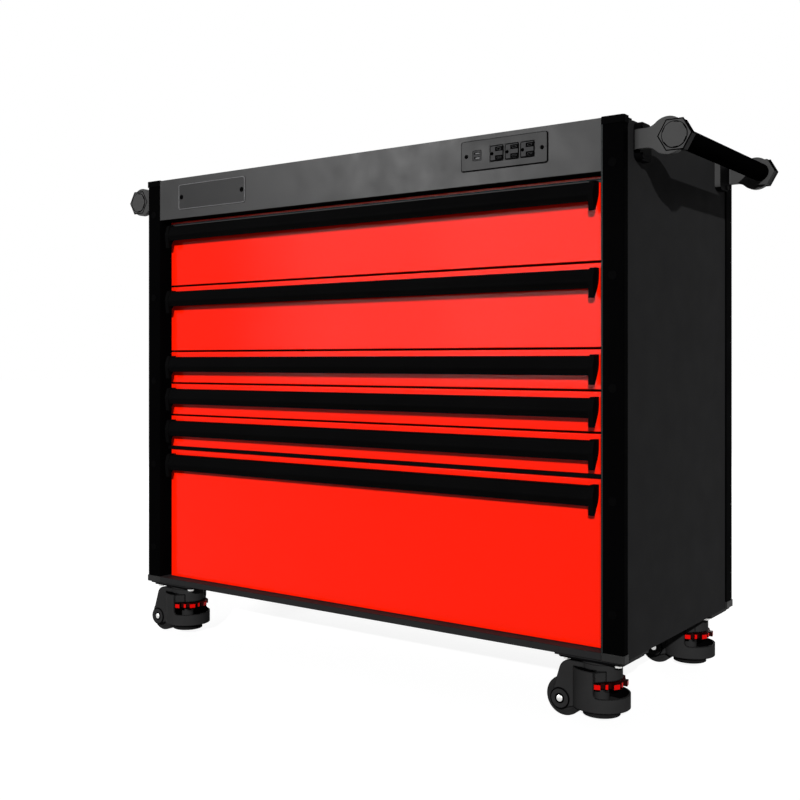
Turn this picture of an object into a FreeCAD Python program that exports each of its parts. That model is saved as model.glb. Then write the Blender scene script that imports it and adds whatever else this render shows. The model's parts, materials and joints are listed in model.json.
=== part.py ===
import FreeCAD, Part
import math
import os
import Sketcher

# Mobile drawer cabinet: four aluminium posts, a steel shell, six drawers on telescopic slides, a bar
# handle on each side and four levelling casters. X is to the right, Y to the back, Z up, and the
# origin is on the floor under the middle of the cabinet. All lengths are in millimetres.

document = FreeCAD.newDocument("mobile_drawer_cabinet")
sheet = document.addObject("Spreadsheet::Sheet", "Sizes")
Vector = FreeCAD.Vector
TOLERANCE = 1e-4


class Size:
    """A length together with the sheet formula that drives it."""

    def __init__(self, value, text):
        self.value = float(value)
        self.text = text

    def __add__(self, other):
        other = as_size(other)
        return Size(self.value + other.value, "(%s + %s)" % (self.text, other.text))

    def __sub__(self, other):
        other = as_size(other)
        return Size(self.value - other.value, "(%s - %s)" % (self.text, other.text))

    def __rsub__(self, other):
        return as_size(other) - self

    def __mul__(self, factor):
        return Size(self.value * factor, "(%s * %.9f)" % (self.text, factor))

    def __truediv__(self, divisor):
        return Size(self.value / divisor, "(%s / %.9f)" % (self.text, divisor))

    def __neg__(self):
        return Size(-self.value, "(0 - %s)" % self.text)


def as_size(value):
    """A plain number counts as a size of its own."""
    return value if isinstance(value, Size) else Size(value, "%.9f" % value)


def size(name, value):
    """Puts one driving size on the sheet."""
    row = size.rows = size.rows + 1
    sheet.set("A%d" % row, name)
    sheet.set("B%d" % row, str(value))
    sheet.setAlias("B%d" % row, name)
    return Size(value, "Sizes." + name)


size.rows = 0

# Overall sizes
body_width = size("body_width", 1220)
body_depth = size("body_depth", 556)
sheet_steel = size("sheet_steel", 1.2)
plate_gap = size("plate_gap", 0.3)

# Heights of the front, from the bottom up
bottom_rail_height = size("bottom_rail_height", 12.8)
bottom_rail_gap = size("bottom_rail_gap", 1.0)
deep_front_height = size("deep_front_height", 299.8)
shallow_front_height = size("shallow_front_height", 71.4)
middle_front_height = size("middle_front_height", 149.9)
drawer_gap = size("drawer_gap", 4.0)
divider_gap = size("divider_gap", 9.0)
fascia_gap = size("fascia_gap", 2.9)
fascia_height = size("fascia_height", 94.0)

# Posts and their caps
post_width = size("post_width", 42)
post_side_return = size("post_side_return", 18)
post_rear_return = size("post_rear_return", 36.5)
post_inner_leg = size("post_inner_leg", 27)
post_wall = size("post_wall", 2.5)
post_round = size("post_round", 4)
panel_inset = size("panel_inset", 3)
cap_height = size("cap_height", 13.5)
cap_proud = size("cap_proud", 1.5)
cap_peg_length = size("cap_peg_length", 12)
plug_radius = size("plug_radius", 8)
plug_proud = size("plug_proud", 1)
plug_from_edge = size("plug_from_edge", 20.7)
plug_first_height = size("plug_first_height", 82.7)
plug_pitch = size("plug_pitch", 196.8)
PLUG_ROWS = 5
PLUG_SIDES = 16

# Shell
mat_thickness = size("mat_thickness", 1.3)
mat_inset = size("mat_inset", 2)
mat_corner_gap = size("mat_corner_gap", 2)
flange_width = size("flange_width", 18)
top_fold = size("top_fold", 18)
wall_flange_width = size("wall_flange_width", 44)
fascia_lip = size("fascia_lip", 22)
fascia_lip_rise = size("fascia_lip_rise", 12)
rail_web = size("rail_web", 3)
rail_web_inset = size("rail_web_inset", 3.5)
rail_web_pitch = size("rail_web_pitch", 50)
pad_thickness = size("pad_thickness", 5)
pad_margin = size("pad_margin", 4)

# Drawers and slides
front_recess = size("front_recess", 26)
front_side_gap = size("front_side_gap", 11)
front_depth = size("front_depth", 18)
front_lip = size("front_lip", 12)
front_round = size("front_round", 1.0)
slide_space = size("slide_space", 13)
slide_back_space = size("slide_back_space", 108)
slide_steel = size("slide_steel", 1.4)
slide_half_height = size("slide_half_height", 17.5)
slide_clearance = size("slide_clearance", 0.4)
slide_lip = size("slide_lip", 8.6)
slide_step = size("slide_step", 2.0)
box_wall = size("box_wall", 1.2)
box_hem = size("box_hem", 3.0)
box_hem_height = size("box_hem_height", 8)
box_foot_gap = size("box_foot_gap", 7)
box_head_gap = size("box_head_gap", 8)

# Pulls, measured down from the front's top edge and back from the post's front plane
pull_margin = size("pull_margin", 15.4)
pull_drop = size("pull_drop", 11.5)
pull_height = size("pull_height", 35)
pull_wall = size("pull_wall", 2.4)
pull_crest = size("pull_crest", 8)
pull_nose_drop = size("pull_nose_drop", 22)
pull_nose_round = size("pull_nose_round", 9)
pull_shoulder_round = size("pull_shoulder_round", 5)
pull_curl = size("pull_curl", 5.5)
pull_curl_rise = size("pull_curl_rise", 3)
pull_leg = size("pull_leg", 14)
end_cap_thickness = size("end_cap_thickness", 9.9)
end_cap_rise = size("end_cap_rise", 2.5)
end_cap_tail = size("end_cap_tail", 16.5)
end_cap_heel = size("end_cap_heel", 24)
end_cap_heel_round = size("end_cap_heel_round", 36)
end_cap_tip = size("end_cap_tip", 4)
end_cap_tip_round = size("end_cap_tip_round", 1.9)
end_cap_shoulder_round = size("end_cap_shoulder_round", 7)

# Name plate and power outlets
plate_thickness = size("plate_thickness", 1.2)
plate_height = size("plate_height", 58)
plate_round = size("plate_round", 5)
plate_centre_drop = size("plate_centre_drop", 38.2)
name_plate_width = size("name_plate_width", 212)
name_plate_centre = size("name_plate_centre", -396.7)
name_plate_lowered = size("name_plate_lowered", 6.5)
outlet_plate_width = size("outlet_plate_width", 186)
outlet_plate_centre = size("outlet_plate_centre", 371)
socket_width = size("socket_width", 30)
socket_first = size("socket_first", 356.6)
socket_pitch = size("socket_pitch", 32.6)
socket_depth = size("socket_depth", 24)
socket_face_depth = size("socket_face_depth", 0.4)
slot_length = size("slot_length", 13)
slot_height = size("slot_height", 5.5)
slot_shift = size("slot_shift", 3.4)
slot_rise = size("slot_rise", 8.2)
slot_depth = size("slot_depth", 14)
earth_radius = size("earth_radius", 3.3)
earth_shift = size("earth_shift", 10.4)
usb_width = size("usb_width", 19)
usb_centre = size("usb_centre", 313.5)
usb_port_width = size("usb_port_width", 12.6)
usb_port_height = size("usb_port_height", 4)
usb_port_rise = size("usb_port_rise", 4.2)
SOCKETS = 3

# Side handles and their brackets
handle_reach = size("handle_reach", 77)
handle_drop = size("handle_drop", 37)
handle_tube_radius = size("handle_tube_radius", 18)
handle_tube_wall = size("handle_tube_wall", 2)
bracket_setback = size("bracket_setback", 37)
bracket_thickness = size("bracket_thickness", 12)
bracket_length = size("bracket_length", 63)
bracket_pad_height = size("bracket_pad_height", 68)
bracket_arm_height = size("bracket_arm_height", 35)
bracket_inner_bend = size("bracket_inner_bend", 4)
bracket_corner = size("bracket_corner", 12)
bracket_neck_round = size("bracket_neck_round", 24)
jaw_radius = size("jaw_radius", 33)
jaw_inset = size("jaw_inset", 12)
jaw_flare_margin = size("jaw_flare_margin", 0.5)
hex_radius = size("hex_radius", 30)
hex_clearance = size("hex_clearance", 0.3)
hex_length = size("hex_length", 21)
hex_disc_radius = size("hex_disc_radius", 23)
hex_disc_thickness = size("hex_disc_thickness", 1.5)
HEX_SIDES = 6
FLARE_TURN = math.radians(35)

# Casters, about the swivel axis, heights measured down from the cabinet's underside
caster_inset_x = size("caster_inset_x", 70.5)
caster_inset_y = size("caster_inset_y", 62)
plate_length = size("plate_length", 126)
plate_depth = size("plate_depth", 100)
caster_plate_thickness = size("caster_plate_thickness", 4)
caster_plate_corner = size("caster_plate_corner", 5)
bolt_spread_x = size("bolt_spread_x", 100)
bolt_spread_y = size("bolt_spread_y", 75)
bolt_head_radius = size("bolt_head_radius", 7)
bolt_head_height = size("bolt_head_height", 5.3)
kingpin_radius = size("kingpin_radius", 10)
kingpin_bottom = size("kingpin_bottom", 24)
running_fit = size("running_fit", 0.05)
swivel_gap = size("swivel_gap", 0.6)
head_radius = size("head_radius", 38)
head_bottom = size("head_bottom", 46)
cup_radius = size("cup_radius", 52)
cup_wall = size("cup_wall", 3)
cup_bottom = size("cup_bottom", 99.5)
cup_high_top = size("cup_high_top", 27)
cup_low_top = size("cup_low_top", 73.8)
window_start = size("window_start", 8)
window_edge = size("window_edge", 8)
window_round = size("window_round", 9)
boss_radius = size("boss_radius", 14)
wheel_radius = size("wheel_radius", 36)
wheel_width = size("wheel_width", 36)
wheel_swivel_gap = size("wheel_swivel_gap", 31)
wheel_head_room = size("wheel_head_room", 54)
wheel_edge_bevel = size("wheel_edge_bevel", 4)
wheel_gap = size("wheel_gap", 2)
fork_thickness = size("fork_thickness", 13)
hood_top = size("hood_top", 17.5)
hood_crown = size("hood_crown", 63)
hood_round = size("hood_round", 22)
hub_disc_radius = size("hub_disc_radius", 18.7)
hub_disc_thickness = size("hub_disc_thickness", 2)
axle_radius = size("axle_radius", 6)
thumb_top = size("thumb_top", 49)
thumb_height = size("thumb_height", 10)
thumb_radius = size("thumb_radius", 38)
thumb_lug_radius = size("thumb_lug_radius", 48)
thumb_end_gap = size("thumb_end_gap", 0.3)
thumb_side_gap = size("thumb_side_gap", 0.7)
stem_radius = size("stem_radius", 8)
stem_top = size("stem_top", 28)
foot_radius = size("foot_radius", 34)
foot_clearance = size("foot_clearance", 13)
foot_height = size("foot_height", 9.2)
foot_bevel = size("foot_bevel", 5.7)
LUGS = 8
LUG_SHARE = 0.34
TREAD_SIDES = 48
HOLLOW_SIDES = 32

# Bolts and the cord gland
bracket_bolt_radius = size("bracket_bolt_radius", 6)
bracket_bolt_height = size("bracket_bolt_height", 3)
bracket_bolt_margin = size("bracket_bolt_margin", 10)
bracket_bolt_spread = size("bracket_bolt_spread", 52)
gland_radius = size("gland_radius", 13)
gland_nut_height = size("gland_nut_height", 7)
gland_dome_radius = size("gland_dome_radius", 10)
gland_dome_height = size("gland_dome_height", 14)
gland_centre_x = size("gland_centre_x", 371)
gland_drop = size("gland_drop", 150)

# Places that follow from the sizes
base_height = wheel_radius * 2 + wheel_head_room
wheel_reach = wheel_radius + wheel_swivel_gap
slide_length = body_depth - slide_back_space
half_width = body_width / 2
half_depth = body_depth / 2
front_plane = -half_depth
rear_plane = half_depth
rail_top = base_height + bottom_rail_height
post_inner = half_width - post_width
post_inner_face = half_width - panel_inset - sheet_steel - plate_gap
front_post_end = front_plane + post_side_return + post_inner_leg
rear_post_start = rear_plane - post_rear_return - post_inner_leg + plate_gap
front_half_width = post_inner - front_side_gap
front_face = front_plane + front_recess
box_front = front_face + front_depth
wall_face = front_half_width - sheet_steel - plate_gap
wall_front = front_post_end + plate_gap
wall_rear = rear_post_start - plate_gap
box_half_width = wall_face - slide_space


# Outlines and features

PLANE_AXES = {"XY": (0, 1), "XZ": (0, 2), "YZ": (1, 2)}


def recompute_and_check(item, less_than=None):
    """Recomputes, and stops when a feature is broken or a cut takes nothing away."""
    document.recompute()
    for part in (item, item.Tip):
        if "Invalid" in part.State or "Error" in part.State or not part.Shape.isValid():
            raise RuntimeError("broken feature in " + item.Label)
    if less_than is not None and item.Shape.Volume > less_than - TOLERANCE:
        raise RuntimeError("a cut misses the solid in " + item.Label)


def new_body(label):
    body = document.addObject("PartDesign::Body", label)
    body.Label = label
    return body


def new_sketch(body, plane, level):
    """A sketch parallel to an origin plane, at a level along the world axis across it."""
    sketch = body.newObject("Sketcher::SketchObject", "outline")
    origin_plane = [item for item in body.Origin.OriginFeatures if item.Role == plane + "_Plane"][0]
    offset = -level if plane == "XZ" else level
    sketch.AttachmentSupport = [(origin_plane, "")]
    sketch.MapMode = "FlatFace"
    sketch.AttachmentOffset = FreeCAD.Placement(Vector(0, 0, offset.value), FreeCAD.Rotation())
    sketch.setExpression("AttachmentOffset.Base.z", offset.text)
    return sketch


def bind(sketch, constraints):
    """Adds constraints given as (constraint, size or None) and binds each to its size."""
    first = sketch.ConstraintCount
    sketch.addConstraint([constraint for constraint, driver in constraints])
    for index, (constraint, driver) in enumerate(constraints):
        if driver is not None:
            sketch.setExpression("Constraints[%d]" % (first + index), driver.text)


def draw_polygon(sketch, points):
    """A closed outline through points, each (across, up) and maybe a rounding."""
    spots = [(as_size(point[0]), as_size(point[1])) for point in points]
    first = sketch.GeometryCount
    lines = []
    for index, (across, up) in enumerate(spots):
        next_across, next_up = spots[(index + 1) % len(spots)]
        start = Vector(across.value, up.value, 0)
        lines.append(Part.LineSegment(start, Vector(next_across.value, next_up.value, 0)))
    sketch.addGeometry(lines, False)
    constraints = []
    for index, (across, up) in enumerate(spots):
        here = first + index
        following = first + (index + 1) % len(spots)
        constraints.append((Sketcher.Constraint("Coincident", here, 2, following, 1), None))
        constraints.append((Sketcher.Constraint("DistanceX", here, 1, across.value), across))
        constraints.append((Sketcher.Constraint("DistanceY", here, 1, up.value), up))
    bind(sketch, constraints)


def draw_circle(sketch, across, up, radius):
    across, up, radius = as_size(across), as_size(up), as_size(radius)
    index = sketch.GeometryCount
    centre = Vector(across.value, up.value, 0)
    sketch.addGeometry(Part.Circle(centre, Vector(0, 0, 1), radius.value), False)
    bind(sketch, [
        (Sketcher.Constraint("DistanceX", index, 3, across.value), across),
        (Sketcher.Constraint("DistanceY", index, 3, up.value), up),
        (Sketcher.Constraint("Radius", index, radius.value), radius),
    ])


def round_corners(body, plane, points):
    """Fillets the straight edges that run across the plane at each point that states a rounding."""
    radii = {}
    for point in points:
        if len(point) == 3:
            radii.setdefault(point[2].text, (point[2], []))[1].append(point)
    for radius, corners in radii.values():
        names = []
        for index, edge in enumerate(body.Shape.Edges):
            ends = [vertex.Point for vertex in edge.Vertexes]
            if not isinstance(edge.Curve, Part.Line):
                continue
            if any(on_corner(plane, ends, corner) for corner in corners):
                names.append("Edge%d" % (index + 1))
        base = body.Tip
        fillet = body.newObject("PartDesign::Fillet", "rounding")
        fillet.Base = (base, names)
        fillet.setExpression("Radius", radius.text)
        recompute_and_check(body)


def on_corner(plane, ends, corner):
    across, up = PLANE_AXES[plane]
    target_across, target_up = as_size(corner[0]).value, as_size(corner[1]).value
    return all(abs(end[across] - target_across) < TOLERANCE and abs(end[up] - target_up) < TOLERANCE
               for end in ends)


def extrude(body, plane, outlines, start, end, cut=False):
    """Pads, or cuts, outlines between two levels along the axis across the plane."""
    start, end = as_size(start), as_size(end)
    sketch = new_sketch(body, plane, start)
    for outline in outlines:
        if isinstance(outline, tuple):
            draw_circle(sketch, *outline)
        else:
            draw_polygon(sketch, outline)
    before = body.Shape.Volume if cut else None
    feature = body.newObject("PartDesign::Pocket" if cut else "PartDesign::Pad", "feature")
    feature.Profile = sketch
    feature.Length = (end - start).value
    feature.setExpression("Length", (end - start).text)
    feature.Reversed = (plane == "XZ") != cut
    recompute_and_check(body, before)
    if not cut:
        for outline in outlines:
            if isinstance(outline, list):
                round_corners(body, plane, outline)


def cut(body, plane, outlines, start, end):
    extrude(body, plane, outlines, start, end, cut=True)


def bevel_ends(body, axis, levels, distance):
    """Chamfers the outline of a solid at levels along an axis."""
    names = []
    for index, edge in enumerate(body.Shape.Edges):
        ends = [getattr(vertex.Point, axis) for vertex in edge.Vertexes]
        if any(all(abs(end - level.value) < TOLERANCE for end in ends) for level in levels):
            names.append("Edge%d" % (index + 1))
    base = body.Tip
    chamfer = body.newObject("PartDesign::Chamfer", "bevel")
    chamfer.Base = (base, names)
    chamfer.setExpression("Size", distance.text)
    recompute_and_check(body)


def rectangle(left, bottom, right, top, rounding=None):
    corners = [(left, bottom), (right, bottom), (right, top), (left, top)]
    if rounding is None:
        return corners
    return [corner + (rounding,) for corner in corners]


def regular_polygon(across, up, radius, sides):
    """A regular polygon with a corner straight to its right."""
    across, up = as_size(across), as_size(up)
    turns = [2 * math.pi * index / sides for index in range(sides)]
    return [(across + radius * math.cos(turn), up + radius * math.sin(turn)) for turn in turns]


# Copies and groups

def place(item, x=0, y=0, z=0):
    """Binds an object's place to sizes."""
    for axis, distance in (("x", as_size(x)), ("y", as_size(y)), ("z", as_size(z))):
        item.setExpression("Placement.Base." + axis, distance.text)
    return item


def group(label, members):
    item = document.addObject("Part::Compound", label)
    item.Label = label
    item.Links = members
    return item


def copy(source, x=0, y=0, z=0):
    item = place(group(source.Label + "_copy", [source]), x, y, z)
    return item


def mirrored(source, across="X"):
    item = document.addObject("Part::Mirroring", source.Name + "_mirrored")
    item.Source = source
    item.Normal = Vector(1, 0, 0) if across == "X" else Vector(0, 1, 0)
    return item


def four_corners(item):
    """The item and its mirror images in the other three corners."""
    left = mirrored(item)
    return [item, left, mirrored(item, "Y"), mirrored(left, "Y")]


# Posts with their end caps and hole plugs

def front_post_outline(thinner):
    """The front post's section, drawn in by an amount, with the rebate that takes the side panel."""
    left = post_inner + thinner
    step = front_plane + post_side_return - thinner
    outer_round = post_round if thinner.value < TOLERANCE else None
    rounding = (outer_round,) if outer_round else ()
    return [
        (left, front_plane + thinner) + rounding,
        (half_width - thinner, front_plane + thinner) + rounding,
        (half_width - thinner, step),
        (post_inner_face - thinner, step),
        (post_inner_face - thinner, front_post_end - thinner),
        (left, front_post_end - thinner),
    ]


def rear_post_outline(thinner):
    left = post_inner + thinner
    step = rear_plane - post_rear_return + thinner
    outer_round = post_round if thinner.value < TOLERANCE else None
    rounding = (outer_round,) if outer_round else ()
    return [
        (left, rear_plane - thinner) + rounding,
        (half_width - thinner, rear_plane - thinner) + rounding,
        (half_width - thinner, step),
        (post_inner_face - thinner, step),
        (post_inner_face - thinner, rear_post_start + thinner),
        (left, rear_post_start + thinner),
    ]


def make_post(label, outline):
    body = new_body(label)
    extrude(body, "XY", [outline(as_size(0))], post_bottom, post_top)
    cut(body, "XY", [outline(post_wall)], post_bottom, post_top)
    return body


def make_post_cap(label, outline, side, bottom, top, peg_bottom, peg_top):
    """An end cap that is a little proud of the post and holds in it with a peg."""
    near, far = side
    body = new_body(label)
    plan = rectangle(post_inner, near, half_width + cap_proud, far)
    proud_edge = near if outline is front_post_outline else far
    extrude(body, "XY", [plan], bottom, top)
    outer_corners = [(post_inner, proud_edge, post_round),
                     (half_width + cap_proud, proud_edge, post_round)]
    round_corners(body, "XY", outer_corners)
    inner = outline(as_size(0))
    rest = [inner[0][:2], (post_inner_face, inner[0][1]), inner[4][:2], inner[5][:2]]
    extrude(body, "XY", [rest], bottom, top)
    extrude(body, "XY", [outline(post_wall + plate_gap)], peg_bottom, peg_top)
    return body


def make_plug():
    body = new_body("post_plug")
    disc = regular_polygon(half_width - plug_from_edge, base_height + plug_first_height, plug_radius,
                           PLUG_SIDES)
    extrude(body, "XZ", [disc], front_plane - plug_proud, front_plane)
    return body


def make_posts_and_trim():
    front = make_post("front_post", front_post_outline)
    rear = make_post("rear_post", rear_post_outline)
    posts = [front, rear]
    group("corner_posts", posts + [mirrored(post) for post in posts])
    front_side = (front_plane - cap_proud, front_plane + post_side_return)
    rear_side = (rear_plane - post_rear_return, rear_plane + cap_proud)
    peg = cap_peg_length
    trim = []
    for name, outline, side in (("front", front_post_outline, front_side),
                                ("rear", rear_post_outline, rear_side)):
        trim.append(make_post_cap(name + "_top_cap", outline, side, post_top, cap_top,
                                  post_top - peg, post_top))
        trim.append(make_post_cap(name + "_bottom_cap", outline, side, base_height, post_bottom,
                                  post_bottom, post_bottom + peg))
    plug = make_plug()
    trim.append(plug)
    trim += [copy(plug, z=plug_pitch * row) for row in range(1, PLUG_ROWS)]
    group("post_trim", trim + [mirrored(piece) for piece in trim])


# Heights up the front
deep_bottom = rail_top + bottom_rail_gap
shallow_bottom = deep_bottom + deep_front_height + divider_gap
shallow_step = shallow_front_height + drawer_gap
middle_bottom = shallow_bottom + shallow_step * 3
middle_step = middle_front_height + drawer_gap
fascia_bottom = middle_bottom + middle_step * 2 - drawer_gap + fascia_gap
body_top = fascia_bottom + fascia_height
panel_top = body_top - mat_thickness
panel_underside = panel_top - sheet_steel
cap_top = body_top + cap_proud
post_top = cap_top - cap_height
post_bottom = base_height + cap_height


# Shell

def make_side_panel():
    """A flat skin between the posts, folded in along its top."""
    body = new_body("side_panel_right")
    outer = half_width - panel_inset
    inner = outer - sheet_steel
    near = front_plane + post_side_return + plate_gap
    far = rear_plane - post_rear_return - plate_gap
    extrude(body, "XY", [rectangle(inner, near, outer, far)], base_height, panel_underside)
    fold_near = front_post_end + plate_gap * 2 + sheet_steel
    fold_far = rear_post_start - plate_gap * 2 - sheet_steel
    fold = [rectangle(outer - flange_width, fold_near, outer, fold_far)]
    extrude(body, "XY", fold, panel_underside - sheet_steel, panel_underside)
    mirrored_panel = mirrored(body)
    mirrored_panel.Label = "side_panel_left"
    return [body, mirrored_panel]


def make_inner_wall():
    """The wall that carries one side's slides, flanged out to both posts."""
    body = new_body("inner_wall")
    flange_end = wall_face + wall_flange_width
    plan = [
        (wall_face, wall_front),
        (flange_end, wall_front),
        (flange_end, wall_front + sheet_steel),
        (wall_face + sheet_steel, wall_front + sheet_steel),
        (wall_face + sheet_steel, wall_rear - sheet_steel),
        (flange_end, wall_rear - sheet_steel),
        (flange_end, wall_rear),
        (wall_face, wall_rear),
    ]
    extrude(body, "XY", [plan], rail_top + plate_gap, panel_underside - sheet_steel - plate_gap)
    group("inner_walls", [body, mirrored(body)])


def notched_plan(inset, notch_x, front_notch, rear_notch, front, rear):
    """A plan that leaves the four post corners out."""
    side = half_width - inset
    return [
        (-notch_x, front), (notch_x, front), (notch_x, front_notch), (side, front_notch),
        (side, rear_notch), (notch_x, rear_notch), (notch_x, rear), (-notch_x, rear),
        (-notch_x, rear_notch), (-side, rear_notch), (-side, front_notch), (-notch_x, front_notch),
    ]


def make_top():
    """The top sheet, folded down at the front and back, and the thin mat on it."""
    notch = post_inner - plate_gap
    front = front_plane + sheet_steel + plate_gap
    rear = rear_plane - plate_gap
    body = new_body("top_panel")
    plan = notched_plan(panel_inset, notch, front_post_end + plate_gap,
                        rear_post_start - plate_gap, front, rear)
    extrude(body, "XY", [plan], panel_underside, panel_top)
    fold_bottom = panel_underside - top_fold
    front_fold = rectangle(-notch, front, notch, front + sheet_steel)
    rear_fold = rectangle(-notch, rear - sheet_steel, notch, rear)
    extrude(body, "XY", [front_fold, rear_fold], fold_bottom, panel_underside)
    mat = new_body("top_mat")
    side = half_width - panel_inset - mat_inset
    near = front + mat_inset
    far = rear - mat_inset
    step = side - post_inner + mat_corner_gap
    front_cut = step + front_post_end - near
    rear_cut = step + far - rear_post_start
    outline = [
        (-side + front_cut, near), (side - front_cut, near),
        (side, near + front_cut), (side, far - rear_cut),
        (side - rear_cut, far), (-side + rear_cut, far),
        (-side, far - rear_cut), (-side, near + front_cut),
    ]
    extrude(mat, "XY", [outline], panel_top, body_top)


def make_fascia():
    """The folded strip above the drawers, open behind the outlets."""
    body = new_body("fascia")
    side = post_inner - plate_gap
    section = [
        (front_plane, fascia_bottom, front_round),
        (front_plane + fascia_lip, fascia_bottom),
        (front_plane + fascia_lip, fascia_bottom + fascia_lip_rise),
        (front_plane + fascia_lip - sheet_steel, fascia_bottom + fascia_lip_rise),
        (front_plane + fascia_lip - sheet_steel, fascia_bottom + sheet_steel),
        (front_plane + sheet_steel, fascia_bottom + sheet_steel),
        (front_plane + sheet_steel, body_top),
        (front_plane, body_top),
    ]
    extrude(body, "YZ", [section], -side, side)
    opening = [rectangle(usb_centre - usb_width / 2 - plate_gap * 2,
                         outlet_height - socket_width / 2 - plate_gap * 2,
                         socket_first + socket_pitch * (SOCKETS - 1) + socket_width / 2 + plate_gap * 2,
                         outlet_height + socket_width / 2 + plate_gap * 2)]
    cut(body, "XZ", opening, front_plane, front_plane + sheet_steel)


def make_base_frame():
    """An upturned tray between the posts with webs and pads over the casters."""
    body = new_body("base_frame")
    inside = post_inner - plate_gap
    plan = notched_plan(panel_inset + sheet_steel + plate_gap, inside, front_post_end + plate_gap,
                        rear_post_start - plate_gap, front_plane, rear_plane)
    web_level = rail_top - sheet_steel
    extrude(body, "XY", [plan], base_height, rail_top)
    tray = notched_plan(panel_inset + sheet_steel * 2 + plate_gap, inside - sheet_steel,
                        front_post_end + plate_gap + sheet_steel,
                        rear_post_start - plate_gap - sheet_steel,
                        front_plane + sheet_steel, rear_plane - sheet_steel)
    cut(body, "XY", [tray], base_height, web_level)
    near = front_plane + sheet_steel / 2
    far = rear_plane - sheet_steel / 2
    for side in (-1, 1):
        for step in (0, 1):
            middle = (post_inner - rail_web_inset - rail_web_pitch * step) * side
            web = rectangle(middle - rail_web / 2, near, middle + rail_web / 2, far)
            extrude(body, "XY", [web], base_height, web_level)
    pads = []
    for side_x in (-1, 1):
        for side_y in (-1, 1):
            x, y = caster_x * side_x, caster_y * side_y
            reach_x = plate_length / 2 + pad_margin
            reach_y = plate_depth / 2 + pad_margin
            pads.append(rectangle(x - reach_x, y - reach_y, x + reach_x, y + reach_y))
    extrude(body, "XY", pads, base_height - pad_thickness, base_height)


def make_back_and_divider():
    """The recessed back sheet, folded at both sides, and the rail over the deep drawer."""
    back = new_body("back_panel")
    side = post_inner - plate_gap
    level = rear_plane - post_rear_return
    plan = [
        (-side, level), (side, level), (side, level + flange_width),
        (side - sheet_steel, level + flange_width), (side - sheet_steel, level + sheet_steel),
        (-side + sheet_steel, level + sheet_steel), (-side + sheet_steel, level + flange_width),
        (-side, level + flange_width),
    ]
    extrude(back, "XY", [plan], rail_top + plate_gap, panel_underside - plate_gap)
    rail = new_body("divider_rail")
    bottom = deep_bottom + deep_front_height + bottom_rail_gap
    top = shallow_bottom - bottom_rail_gap
    near = front_face
    far = front_post_end - plate_gap
    section = [
        (near, bottom), (far, bottom), (far, bottom + sheet_steel),
        (near + sheet_steel, bottom + sheet_steel), (near + sheet_steel, top - sheet_steel),
        (far, top - sheet_steel), (far, top), (near, top),
    ]
    extrude(rail, "YZ", [section], -side, side)


# Name plate and power outlets
outlet_height = body_top - plate_centre_drop


def make_plates():
    name_plate = new_body("name_plate")
    reach = name_plate_width / 2
    low = outlet_height - plate_height / 2 - name_plate_lowered
    outline = rectangle(name_plate_centre - reach, low, name_plate_centre + reach,
                        low + plate_height, plate_round)
    extrude(name_plate, "XZ", [outline], front_plane - plate_thickness, front_plane)
    outlet_plate = new_body("outlet_plate")
    reach = outlet_plate_width / 2
    outline = rectangle(outlet_plate_centre - reach, outlet_height - plate_height / 2,
                        outlet_plate_centre + reach, outlet_height + plate_height / 2, plate_round)
    extrude(outlet_plate, "XZ", [outline], front_plane - plate_thickness, front_plane)
    half = socket_width / 2 + plate_gap
    openings = []
    for index in range(SOCKETS):
        x = socket_first + socket_pitch * index
        openings.append(rectangle(x - half, outlet_height - half, x + half, outlet_height + half))
    half = usb_width / 2 + plate_gap
    openings.append(rectangle(usb_centre - half, outlet_height - half,
                              usb_centre + half, outlet_height + half))
    cut(outlet_plate, "XZ", openings, front_plane - plate_thickness, front_plane)


def make_outlets():
    """Three mains sockets and a twin charging port, snapped in behind the plate."""
    face = front_plane - plate_thickness + socket_face_depth
    socket = new_body("socket")
    half = socket_width / 2
    body_outline = rectangle(socket_first - half, outlet_height - half,
                             socket_first + half, outlet_height + half)
    extrude(socket, "XZ", [body_outline], face, face + socket_depth)
    slots = []
    x = socket_first + slot_shift
    for side in (-1, 1):
        z = outlet_height + slot_rise * side
        slots.append(rectangle(x - slot_length / 2, z - slot_height / 2,
                               x + slot_length / 2, z + slot_height / 2))
    slots.append((socket_first - earth_shift, outlet_height, earth_radius))
    cut(socket, "XZ", slots, face, face + slot_depth)
    sockets = [socket] + [copy(socket, x=socket_pitch * index) for index in range(1, SOCKETS)]
    usb = new_body("charging_port")
    half = usb_width / 2
    body_outline = rectangle(usb_centre - half, outlet_height - half,
                             usb_centre + half, outlet_height + half)
    extrude(usb, "XZ", [body_outline], face, face + socket_depth)
    ports = []
    for side in (-1, 1):
        z = outlet_height + usb_port_rise * side
        ports.append(rectangle(usb_centre - usb_port_width / 2, z - usb_port_height / 2,
                               usb_centre + usb_port_width / 2, z + usb_port_height / 2))
    cut(usb, "XZ", ports, face, face + slot_depth)
    group("outlet_inserts", sockets + [usb])


# Side handles
handle_x = half_width + handle_reach
handle_z = body_top - handle_drop
bracket_face = front_plane + bracket_setback
bracket_back = bracket_face + bracket_thickness
panel_face = half_width - panel_inset
pad_outer = panel_face + bracket_thickness
jaw_x = handle_x - jaw_inset


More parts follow.
